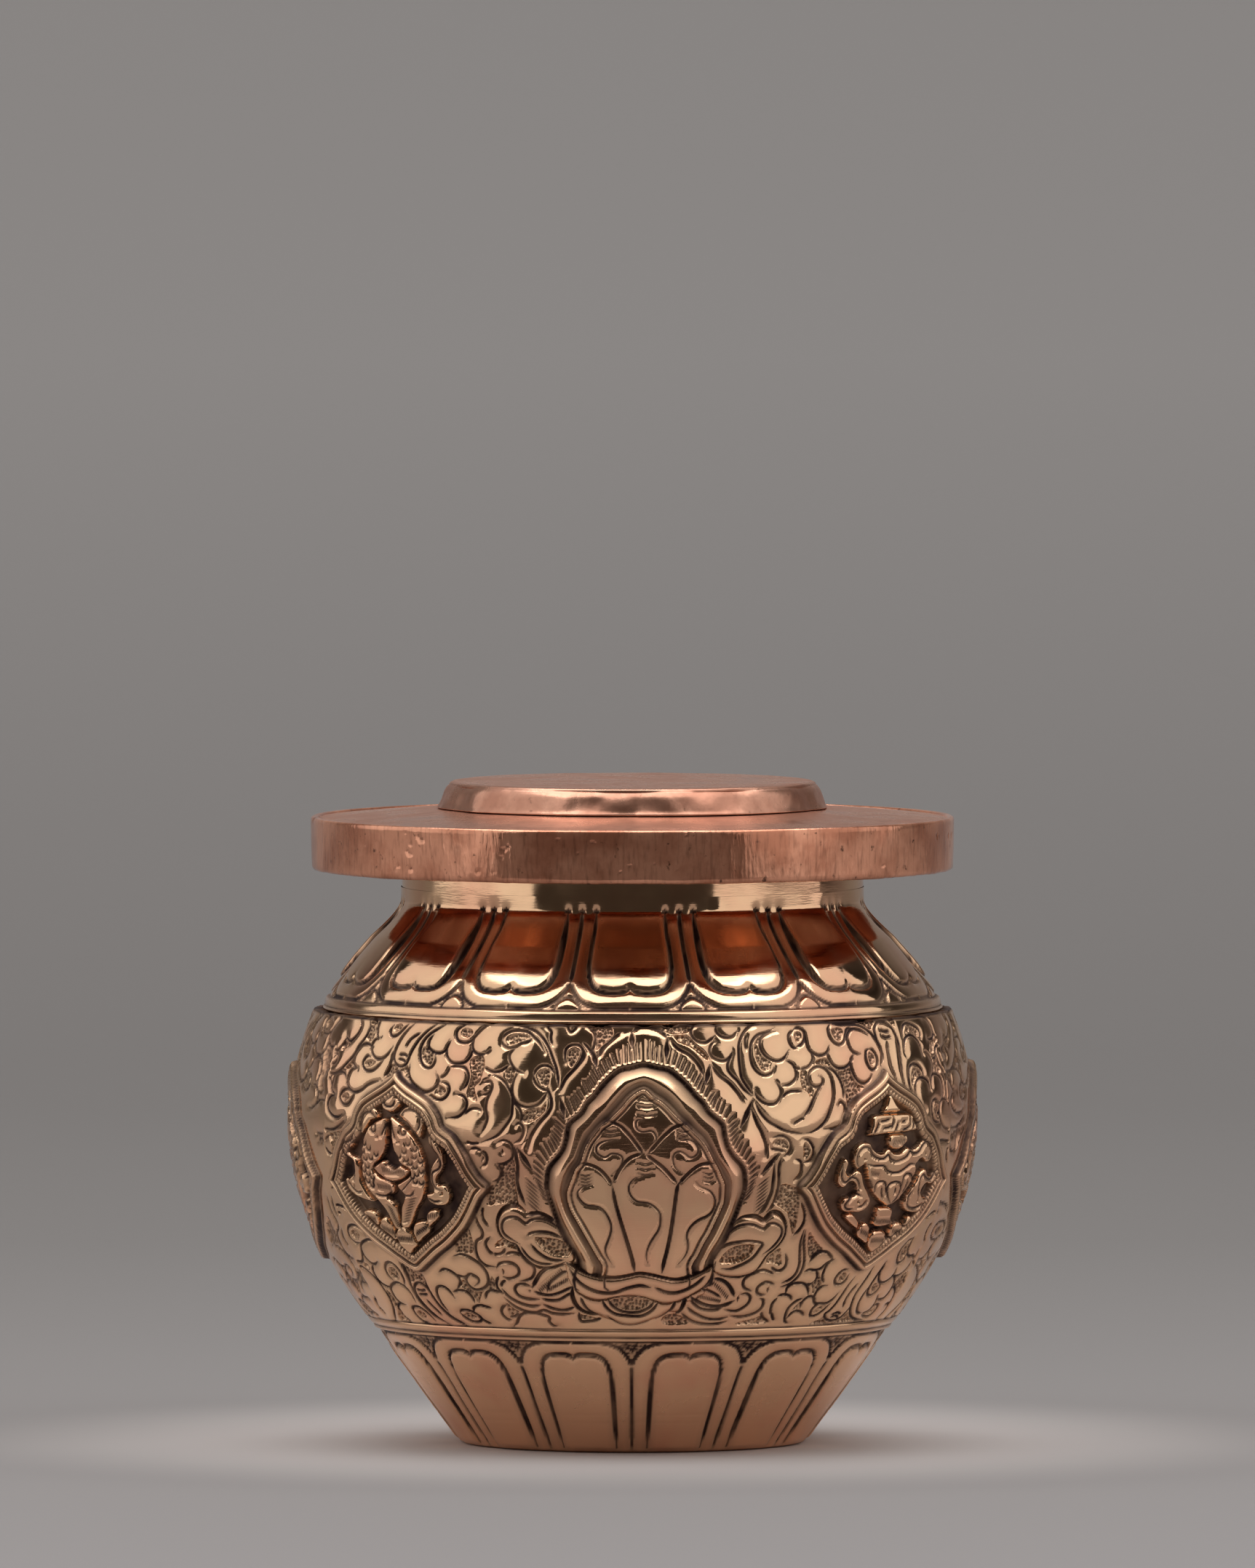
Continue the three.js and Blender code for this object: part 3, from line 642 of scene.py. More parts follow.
def shoulderSheet():
    s = shoulder
    half = 180 / s['petals']
    sheet = Sheet(-half, half, vase['bellyTop'], s['sheetTop'], s['pitch'], s['radius'])
    pad = [(s['side'] + 0.1, s['top']), (s['side'], 79), (s['side'] - 0.15, 76), (s['side'] - 0.1, 73.4),
           (s['side'] + 0.6, 71.5), (s['side'] + 2.2, s['padFoot'] + 0.3), (half - 3.4, s['padFoot'] - 0.05),
           (half - 1, s['padFoot'] + 0.15), (half, s['cusp'])]
    outer = [(0, s['fork']), (0.9, 70.3), (2.3, 69.1), (4.2, 68.25), (s['flare'], s['low']), (9, 67.9),
             (half, 67.95)]
    stem = [(0, s['top']), (0, 78), (0, 74), (0, s['fork'] - 0.1)]
    stop = [(0, s['top'] - 0.5), (0, s['top'] + 0.1)]
    hollow = [(2.7, 67.75), (1.9, 68.7), (0.3, 69.5), (0.2, 70.7), (1.4, 69.4), (3, 68.3), (5.2, 67.8)]
    tip = [(-2.6, 67.7), (-1.8, 68.8), (0, 69.5), (1.8, 68.8), (2.6, 67.7)]
    fade = np.clip((s['top'] - sheet.heights) / s['fadeLength'], 0, 1)
    above = np.maximum(sheet.heights - s['padFoot'], 0)
    dome = s['dome'] * (1 - np.exp(-above / s['domeLength'])) * fade
    for shift in (-2 * half, 0, 2 * half):
        for way in (-1, 1):
            sheet.line(shifted(pad, shift, way), s['groove'], s['depth'], s['taper'])
            sheet.line(shifted(outer, shift, way), s['groove'], s['depth'] * s['outerShare'], 0.0)
            sheet.line(shifted(stop, shift + way * s['side']), *s['stop'])
            sheet.ground(shifted(hollow, shift, way), s['hollowDepth'], False)
        sheet.lift += (s['padLift'] * fade + dome)[:, None] * cushion(sheet, pad, shift, half, s['padSoft'])
        sheet.line(shifted(stem, shift), s['stem'], s['depth'], s['taper'])
        sheet.line(shifted(stop, shift), *s['stop'])
        sheet.line(shifted(tip, shift), *s['tip'])
    low = (sheet.heights < vase['bandTop'] + 0.1)[:, None]
    rise = np.clip((sheet.heights - s['bandFrom']) / s['bandSoft'], 0, 1)
    rise = rise * np.clip((s['bandTo'] - sheet.heights) / s['bandSoft'], 0, 1)
    sheet.lift = np.where(low, s['bandLift'] * (rise ** 0.5)[:, None], sheet.lift)
    sheet.sunk *= ~low
    ringLines(sheet, half, ((vase['bandTop'] + 0.05, 0.24), (66.15, 0.16)), s['ringDepth'])
    sheet.matting()
    return sheet


# The lap goes down inside the belly's mouth.
lap = [(shoulder['lapInside'], shoulder['lapFoot']), (shoulder['lapOutside'], shoulder['lapFoot']),
       (shoulder['lapOutside'] + 0.05, vase['bellyTop'] - 0.05)]
worked = shoulderSheet()
shoulderShell = sector('shoulderShell', worked, shoulder['pillow'], lap, [], shoulder['plainPatina'])
ringOf(shoulderShell, shoulder['petals'], shoulder['start'], gold)
finish(shoulderShell, 'vase', 'shoulder_shell')

# The neck goes on from the shoulder, over the lip and down the inside of both.
neck = {'from': 84.0, 'columns': 290, 'waveFrom': 84.5, 'waveRise': 3}
insideShoulder = [(float(wallRadius(z)) - shoulder['inside'], z) for z in np.linspace(68, neck['from'], 20)]
neckOutline = [(shoulder['lapInside'], shoulder['lapFoot']), (shoulder['lapInside'] - 0.1, 66.5)]
neckOutline += insideShoulder + [(33.6, 93.6), (33.9, 94.15), (34.5, 94.25), (vase['neckRadius'], 93.9)]
neckOutline += [(vase['neckRadius'], z) for z in np.linspace(93.4, neck['from'], 12)]


def neckWobble(angles, radius, heights):
    turn = np.radians(angles)
    wave = 0.05 * np.sin(3 * turn + 1) + 0.03 * np.sin(7 * turn + heights * 0.4)
    share = np.clip((heights - neck['waveFrom']) / neck['waveRise'], 0, 1)
    return wave * share * (heights > neck['waveFrom']), 0 * heights


plainNeck = turnedObject('neck', neckOutline[::-1], neck['columns'], neckWobble)
finish(plainNeck, 'vase', None, gold)


# The jewel at the front: its border's outer edge (left half) and the stone's two edges, from the point
# down to the seat, then what is chased on the stone, and the seat and bowl that carry it.
jewel = {
    'bevel': '''
        0,59.6 -2,59.2 -4,58.8 -5.6,57.7 -7.1,56.3 -8.3,54.9 -9.4,53.9 -10.3,52.5 -12.4,50.8 -12.8,49
        -13.3,47.4 -14.1,46.2 -15.8,44.4 -16.3,42.7 -16.3,40.8 -15.5,38.3 -14.8,36.2 -13.5,33.4 -11.8,30.4
        -10.7,28.6''',
    'innerLeft': '''
        0,55.9 -2,54.9 -3.5,53.4 -4.7,52.3 -5.7,51.4 -7,50.6 -8,49.5 -9,48.3 -9.7,47 -10.4,45.2 -11.2,44.3
        -11.8,43 -12.7,41 -12.8,40 -12.5,38.7 -12,37.6 -11,36 -10,34.3 -9,32.6 -8,31 -7.2,29.7 -6.6,28.7''',
    'innerRight': '''
        0,55.9 1.5,54.8 3,54 4.3,52.9 5.5,51.7 6.7,50.8 8,49.7 9.3,48.6 10.2,47.6 10.9,46.5 11.6,45.3
        12.3,44.3 13,43 13.5,42 13.6,40.6 13.5,39.2 12.9,37.7 12.2,36.2 11.4,34.5 10.6,33.2 9.7,31.3
        8.8,29.7 8.3,28.7''',
    'creases': strokes('''
        -5.2,41.8 -4.8,39.5 -4.2,37.5 -3.7,36 -3,34 -2.3,32 -1.8,30.4 -1.5,29 / 5.8,42.3 5.5,41 5.2,38.5
        4.9,36 4.6,34 4.2,32 3.8,30.5 3.5,28.8 / -5.3,42 -6,43 -7,44 -8.3,44.7 -10.4,45.2 / -5,42.4
        -4.3,43.8 -3.2,45.2 -2,46.1 -0.3,46.6 / 0.5,46.4 1.5,45.7 3,44.7 4.2,43.6 5.5,42.3 / 6,42.3 6.8,43.1
        8,44.1 9.5,44.9 11.6,45.1 / -5.7,51.4 -4,50.7 -3,49.9 -2,48.9 -1,47.7 -0.2,46.7 / 6.7,50.9 5,50.4
        4,49.7 3,48.9 2,47.9 0.7,46.6'''),
    'veins': strokes('''
        -8.6,42.2 -10,41.8 -11,41 -11.1,40.3 -10.4,39.4 -9.5,38.9 -8.3,38.8 -7.2,38.5 -6.3,37.6 -5.6,36.2
        -5.6,35 -6.1,33.7 -6.6,32.6 -6.6,31.6 -6.1,30.7 -5.5,30 / -0.2,43.3 -1.5,43 -2.4,42 -2.4,40.9
        -1.8,40 -1,39.5 0,39.4 1,39.2 2,38.6 2.8,37.7 2.9,36.4 2.6,35.3 1.9,34.3 1.2,33.3 0.7,32.2 0.6,31.2
        0.9,30.3 / 8.7,42.4 9.5,41.7 10.5,41.3 11.4,40.8 12.1,39.8 12.2,38.8 11.7,37.8 10.8,37.2 9.7,36.8
        8.7,36.2 7.9,35.3 7.6,34.3 7.9,33.2 7.9,32 7.4,31 6.4,30 / -4.2,48.7 -5.5,48.6 -6.8,48.3 -7.7,47.7
        -7.8,46.8 -7,46.2 -6.2,46.1 -5.3,46.6 -4.2,46.5 -3.5,45.9 -3.9,44.7 -5.2,43.6 / 5.6,48.9 7,48.7
        8.2,48.3 8.9,47.5 9,46.8 8.5,46.2 7.6,46 6.7,46.6 5.8,46.9 5,46.5 4.8,45.6 5.3,44.4 6.7,43.6 /
        -0.3,51.6 -1.2,51.4 -1.2,50.3 -0.3,49.8 1.3,49.9 2,49.1 1.9,48.3'''),
    'dashes': [
        (-1, 2, (54.5, 53.5, 52.3)), (-6.8, -4.2, (50.1, 49.5)), (5.5, 7.6, (49.9, 49.3, 48.7)),
        (-10.8, -8.6, (43.5, 43, 42.5, 42)), (-1, 1.5, (45.3, 44.5, 43.7)), (9.8, 11.8, (43.7, 43.1, 42.5)),
    ],
    'seat': strokes('''
        -14,30.3 -12.5,29.6 -11,28.9 -9,28.3 -7,28 -5,28 -3,28.3 -1,28.7 0,28.7 2,28.4 4,28 6,27.7 8,27.9
        10,28.6 12,29.4 13.2,30 / -13.3,29.5 -12.3,28 -11,27 -9,26.2 -7,25.9 -5,26 -3,26.6 -1,27 0,27
        1.5,26.7 / 2.3,26.7 4,26.1 6,25.9 8,26.3 10,27.2 11.5,28.4 / -13.8,27.5 -13,26.3 -11.5,25.3
        -9.5,24.7 -7.5,24.6 -5,25 -2.5,25.2 0,25 2,24.5 4,24.1 6,24.2 8,24.7 10,25.6 11.8,26.6 12.8,28
        13.3,30.3'''),
    'bowl': strokes('''
        -6.7,24.6 -5.8,23.6 -4.5,22.9 -3,22.6 -1,22.6 0,22.8 1.5,23.4 2.3,24.2 / -7.9,24.6 -7,23.3 -5.5,22.4
        -3.5,22.1 -1,22 0.5,22.2 2,22.9 3.2,24.1 / -11.9,24.8 -11.5,23.9 -10.8,23 -9.7,22.4 -8.6,22 /
        -6.8,21.8 -5.5,21 -4,20.5 -2,20.4 0,20.7 2.3,21.3 / 2.4,21.3 4,21.8 5.5,22.7 6.6,24.2 / -12.8,22.2
        -12.7,20.9 -11.3,20.8 -9.5,21 -8.4,21.3'''),
    'ends': strokes('''
        -13.4,26.2 -13.6,24.8 -13.2,23.5 -12.3,22.7 -10.6,22.2 -8.4,21.9 / 8.1,25 8.3,23.9 7.8,22.8 7,22'''),
}

# The flames round it: notches between the tongues, and their S-shaped double edges.
flame = {
    'notches': strokes('''
        -1.9,62.1 -2,64.5 / -8,59.3 -8.7,61.8 / -13.2,51.8 -14,54.7 / -18.8,44 -21.5,47.2 / 3.9,60.3
        4.2,63.5 / 10.5,56.7 11.4,59.6 / 16.3,50.2 18.7,54.3 / 20.2,43.3 23.3,46.2'''),
    'tongues': strokes('''
        -7.7,60.8 -7,62 -5.5,63.3 -4,64.5 / -14.2,55.5 -13.3,57.5 -11.5,59.3 -10.3,60.8 -10.5,62.2 /
        -19.5,46.9 -19,49 -17.5,51 -16,52.5 -15.5,54 -16.4,56.5 / -20.4,38.7 -21.4,41 -21.7,43 -21.4,44.5
        -22.2,47.5 / 4.8,63.2 6,62 8,61 9.5,59.5 10.2,58 / 11.7,59.6 13,58 14.8,56.8 16.2,55.3 17,53.9 /
        18.4,53 19.3,51 20.3,49.3 21,47.3 20.8,45.8 / 22.6,45 22.5,42 22.4,40.7 21.9,39.5 21.3,38.3
        20.3,37.3 / -1.9,64.6 -0.6,65.2 1.2,65.2 3.2,64.6 4.2,63.6'''),
}

# Two cloud-shaped leaves at the seat's sides: outlines, inner lines and a long punched eye in each.
clouds = {
    'bold': strokes('''
        -20.6,37.7 -21.5,38.3 -23,38.5 -24.5,38 -25.5,37 -26,35.8 -25.9,34.5 -25.2,33.5 -24,32.8 -23,32.6
        -22.5,31.5 -21.5,30.5 -20,29.5 -18,29.2 -16,29.5 -14.3,30.2 / -20.4,37.3 -18,37.5 -16.5,37
        -15.5,36.5 / 15.9,36 17,36.8 18.5,37 20,36.9 21.3,36.3 22,36.8 23,37.4 24.3,37.2 25.5,36 26,34.5
        25.5,33 24.3,31.8 23.2,31 21.5,28.6 19,27.8 17,27.7 15,27.9 13.6,28.4'''),
    'lines': strokes('''
        -22,32.9 -23.5,33.6 -24.8,34.5 -25,35.6 -24.3,36.6 -23,37 -21.8,36.9 -20.5,36.1 -19.5,36.6 -18,36.8
        -16.5,36.5 -15.2,35.8 -14.2,35 / -20.5,34.3 -19.5,34.7 -17.7,34.9 -16,34.7 -14.2,34 / -20,33
        -19,31.9 -17.5,31 -16,30.6 -14.3,30.6 / -22,32.6 -21.2,31.4 -20,30.5 -18.3,30 -16.5,30 / 14.8,34
        15.3,34.8 16.5,35.6 18,35.9 19.5,35.8 21.3,35.2 22.3,35.9 23.5,35.9 24.8,35.2 25,34.2 24.3,33
        23.2,32 22.1,31.4 / 12.8,31.3 13.8,32.3 15,33 17,33.3 19,33.4 21.5,33 21.2,32.2 20.3,31 19,30.2
        17.5,29.6 16,29.2 14.5,29.3'''),
    'eyes': strokes('''
        -19.2,34 -17,34 -15,33.8 -13.2,33 -12.6,32 -13.5,31.2 -15.5,31.2 -17.2,31.8 -18.5,32.8 / 14.1,31
        15,32 16.5,32.7 18.5,32.9 20.2,32.7 19.8,31.6 18.7,30.7 17,30.2 15.3,30 14,30.2'''),
    'shapes': strokes('''
        -13.5,35.2 -15.5,36.7 -18,37.6 -20.5,37.6 -23,38.6 -25.3,37.2 -26.1,35.4 -25.2,33.5 -23,32.6
        -21.5,30.5 -19,29.3 -15.5,29.5 -12.4,30.6 / 14.2,34.5 16,36.1 18.5,37 21.3,36.3 23,37.4 25.5,36
        26.1,34.2 24.8,32.2 23.1,30.9 21.5,28.6 18,27.7 13.4,28.5 12.4,30.8'''),
}

# Foliage round the jewel: scrolls and leaves on a punched ground. Eyes are small punched hollows.
foliage = {
    'lines': strokes('''
        -24.3,65.5 -20,64.8 -18,63.7 -16.7,62.3 -15.8,60.7 -15,59.1 -14.6,57.6 -14.4,56.3 / -25.3,63.1
        -25,63.9 -23.7,64.5 -22.1,64.6 -20.6,64.4 -19.5,63.7 -18.4,62.9 -17.2,61.4 / -25.3,63.1 -25,62.4
        -23.9,62 -22.6,62.2 -21.7,62.7 -20.6,62.9 -19.7,63.3 / -22.6,62 -23.5,61.3 -23.6,60.5 -23,59.5
        -22.1,58.7 -20.6,58.3 / -21.7,58.3 -22.4,57.3 -22.6,56 -22.3,54.7 -21.3,53.7 -19.7,53.3 -18,53.7
        -16.9,54.7 -16.3,55.7 / -18.9,57.9 -18.5,58.9 -17.4,59.5 -16.1,59.3 -15.3,58.4 / -18.9,57.9 -18.6,57
        -17.6,56.2 -16.1,55.7 / -26.4,58.1 -24.5,57.3 -23.2,56 -22.5,54.7 -22.4,53.3 -22.6,51.8 -23.6,50.4
        -25.2,48.9 -28,47.9 / -26.1,56 -26.7,55 -27.1,54.1 -27.2,52.8 -26.9,51.5 -27.3,50.4 -28,49.2 /
        -28,55 -27.1,55.1 -26.4,55.7 -26.3,56.5 -26.9,57 -28,56.7 / -28,61 -27.1,61.7 / -23.5,59.5
        -24.3,58.9 -25.2,58.5 -26.3,58.4 -27.3,58.7 -28,59.1 / -22.4,54.1 -21.2,53.1 -20.7,52 -20.8,51 /
        -21.9,50.5 -21.2,50.9 -20.5,50.4 -20.4,49.4 -21,48.4 -21.9,48 / -25.2,47.9 -23.9,48.3 -22.6,47.8
        -22.2,46.8 -22.4,45.7 -23.4,45 -24.5,44.7 -25.2,44.9 / -25,44.6 -24.5,43.9 -24.6,43.1 -25.2,42.3
        -26.3,42 / -28,46.6 -27.3,46.3 -27,45.5 -27.3,44.7 -28,44.4 / -21.9,47.3 -21.6,45.8 -21.4,44.2
        -21.5,42 / -17.3,65.2 -16.4,64.5 -16.4,63.6 -16,62.6 / -13.6,65.3 -12.8,64.5 -11.7,65.3 / -10,65.3
        -8.7,64.5 -8.4,63.6 -8.6,62.5 -8.9,61.6 / -10.6,63 -9.5,62.1 -8.6,60.8 -8,59.5 / -3.9,64.5 -4.9,63.7
        -6.1,62.9 -7.3,62 -7.6,61 / -13.5,59.9 -13.6,61.2 -13.4,62.1 -12.4,62.6 -11.1,62.5 -10.5,61.6
        -10.8,60.4 -11.5,59.4 -12.3,58.6 / -23.4,32.5 -22.6,31.2 -21.7,30.1 -20.6,29.4 -20.4,28.5 -21.1,27.5
        -22.4,27 -23.9,26.8 / -28,31 -27.1,30.9 -26.1,31.2 -25.4,31.9 / -25.6,30.9 -24.5,31.2 -23.4,31.2
        -22.6,30.9 / -28,28.8 -27.3,29.4 -26,29.7 -24.5,29.6 -23.6,28.9 -23.7,28 -24.7,27.4 -26,27.2
        -27.1,27.5 / -28,26 -27.6,26.5 -26.8,26.9 / -21.7,26 -22.8,26.4 -24.3,26.3 -25.2,25.7 -25,24.8
        -23.9,24.3 -22.3,24.1 -20.6,24.1 / -28,25.6 -27.1,24.5 -25.6,23.7 -23.9,23.2 -22.1,23 -20.6,23.2 /
        -20,23.3 -18.4,22.8 -16.5,22.5 -15,22.6 -13.6,23 / -28,24.2 -26.5,23 -24.3,22.2 -21.9,22 -20,22.4
        -18.4,22 -16.1,21.9 -13.9,22 / -21.3,25.3 -20.2,25 -18.4,24.8 -16.5,25.1 -14.7,25.7 -13.4,26.2 /
        -18.6,25.3 -18,26.5 -16.7,27.4 -15.2,28.2 -14.1,28.6 / -20,24.2 -18.4,24 -16.5,24.1 -15,24.7
        -13.7,25.3 / -28,19.7 -26.9,20.3 -26,21.2 -24.7,21.8 -22.4,22 -20.6,21.7 -19.3,21.3 -19.5,20.6
        -18.7,20 -17.8,20 / -28,21.2 -26.9,21.3 -25.8,21.8 / 9.3,65.4 8.5,64.7 8.8,63.7 9.6,63.1 10.9,62.9
        11.9,63.3 12.8,63.9 / 13.1,65.4 13.1,64.5 13.9,63.8 15,63.6 16.1,63.8 17,64.6 / 12.8,63.2 11.9,62.5
        11.6,61.6 12,60.8 13,60.3 14.1,60.2 15,60.6 15.7,61.6 / 15.7,61.2 14.8,60 14.6,58.9 15.4,57.9
        16.1,57.3 17.2,56 18.5,54.9 / 20.6,65.4 19.1,65 17.8,63.9 17,62.5 16.8,60.8 16.8,59.2 17,57.6
        18.1,56 18.9,55 / 18.5,63.9 18.2,62.8 18.3,61.8 / 23.9,64.8 22.2,64.2 20.6,63.8 19.4,62.8 18.9,61.2
        19.1,59.5 20,58.4 21.3,57.9 22.6,58.3 23.1,59.2 / 24.4,64.4 22.6,64.1 21.3,63.4 20.9,62.1 21.5,61
        22.6,60.3 23.9,60 25.2,60.4 26.3,61.6 / 25.4,60.1 26.7,59.5 27.2,58.4 26.9,57.3 25.7,56.5 24.3,56.3
        / 26.7,59.1 28,58.7 / 28,64.5 26.9,63.9 26.7,62.8 27.2,62 28,61.8 / 23,57 23.9,56 23.9,54.9
        23.1,53.9 22,53.6 20.7,53.9 19.6,54.7 19.1,55.7 / 24.1,54.5 25,55.2 26.3,55.5 28,55.4 / 19.1,54.1
        20,52.5 21.3,51.2 22.8,50.4 24.4,49.7 26.3,49.3 28,49.1 / 26.1,50.6 28,51.5 / 22.2,48.7 23.9,48.9
        25.2,48.3 25.6,47.3 25.2,46.3 24.3,45.8 / 21.9,47 23.1,46.8 24.3,46.6 / 26.5,45.4 27.6,44.9
        27.8,43.7 27.4,42.8 26.5,42.1 / 23.9,45.7 23.5,44.2 23.7,42 23.6,40.7 23,38.8 21.9,37.4 / 27.1,31
        27.8,29.8 27.6,28.8 26.5,28.3 25.4,28.6 24.8,29 / 20.9,27.7 21.9,28.3 23.3,28.5 24.6,28.2 25.6,27.9
        / 21.5,28.2 20,27.4 19.7,26.5 20.4,25.7 21.9,25.3 / 26.5,26.2 25.4,26.5 24.1,26.6 23,25.9 23.1,25.1
        23.9,24.7 25,24.7 / 19.8,24.8 20.9,24.9 21.9,24.4 21.9,23.5 20.9,22.7 19.3,22.2 17,22.5 / 24.1,24.1
        25,23.8 25.2,22.8 24.3,22 22.6,21.5 20.6,21.3 18.6,21.5 / 18.1,21.3 16.3,21 14.6,21 12.8,21.3
        11.1,21.9 10,22.4 9.2,23 / 9.6,24.2 10.4,23.5 11.7,22.8 13.3,22.5 15.2,22.5 16.5,22.8 / 11.1,26.2
        12.6,25.6 14.1,25.1 15.7,24.4 / 8.1,22.1 9.3,21.3 11.1,20.6 13.3,20.3 15.9,20.3 18.1,20.6 /
        25.4,21.9 26.3,21 28,20.3 / 28,24.1 27.3,23.2 27.6,21.9 28,21.6'''),
    'bold': strokes('''
        -14.1,29.8 -16.1,29.4 -18,28.9 -19.5,28 -20.6,26.9 -21.5,25.9 / 9.4,25 10.4,24.2 11.9,23.5 13.7,23.1
        15.6,23 17.2,23.3 18.7,23.8 / 13.6,27.4 15.2,27.1 16.5,26.5 17.6,25.6 18.5,24.5'''),
    'grounds': strokes('''
        -24,59 -22.3,58.7 -23,56.3 -23.9,57.3 / -20.5,52.3 -19,53.2 -17.2,53.3 -16.3,54.5 -16.6,52.6
        -18,51.6 -19.5,50.9 -20.5,51.2 / -24.4,44.6 -22.8,45 -22,45.4 -21.9,42 -21.8,38.5 -24,38.8
        -27.5,38.5 -27.5,40 -26,42 -24.8,42.5 / -9.5,65.4 -6,65.4 -5.2,64 -6.6,62.8 -8.2,61.8 -8.2,63.6 /
        -27.5,32.3 -26.2,33.2 -25.2,33.6 -24.2,32.9 -23.2,32.5 -23.3,31.9 -25,32.2 -26.5,32 / -28,23.4
        -26.6,22.6 -25.5,22.1 -25.8,21.9 -28,21.4 / 2.2,65.3 8,65.3 8,64.4 5,64.2 / 5.5,64 8,63.8 9.5,62.5
        11.3,61 11,60.3 9.5,61.3 8,62.3 6,63 / 24,41.5 26,41.5 28,40 28,34 27,35 26,37 24.5,38 23,38.8
        23.7,40 / 23.5,30.5 24.8,31.5 25.8,31.8 26.3,30.8 26.8,29.6 25.8,29.2 24.5,29.6 23.5,29.6 / 20,20.3
        24,21 25.5,21.3 27.5,20.6 27,20.1 22,20 / -12.4,21.9 -12.3,21.2 -11,21.1 -9.2,21.3 / 4.3,21.5 6.5,22
        9,21.3 10,20.6 8,20.3 4.5,20.5 / -6.2,24.4 -5.4,23.6 -4.2,23.1 -3,22.9 -1,22.9 0,23.1 1.2,23.6
        1.9,24.2 0,24.7 -2.5,24.9 -5,24.7'''),
    'eyes': strokes('''
        -24.6,63.2 -23.8,64 -22.1,64.2 -20.6,63.9 -20,63.5 -21.5,63 -22.7,62.6 -23.8,62.4 / -18.4,57.9
        -18,58.7 -17.2,59 -16.2,58.9 -15.8,58.2 -16.3,56.4 -17.6,56.7 / -13.1,59.9 -13.2,61.4 -12.4,62.2
        -11.3,62 -11,61.3 -11.5,60.2 -12.2,59.2 / 20.9,57.8 21.6,58.4 / 19.6,61.2 20,63 21.4,63.8 20.5,62.1
        21.2,60.8 22.6,59.9 22,58.7 20.6,58.8 / 22.4,48.3 23.8,48.5 24.9,48 25.1,47.2 24.6,46.9 23.1,47.2
        22.2,47.4 / -28,46.2 -27.6,45.9 -27.4,45.4 -28,44.8'''),
    'holes': strokes('''
        -26.8,28.3 0.5 / -22.2,25.4 0.6 / 25.3,25.5 0.55 / 19.4,24.2 0.6 / -26.9,56 0.45 /
        -24.2,46.6 0.5'''),
}

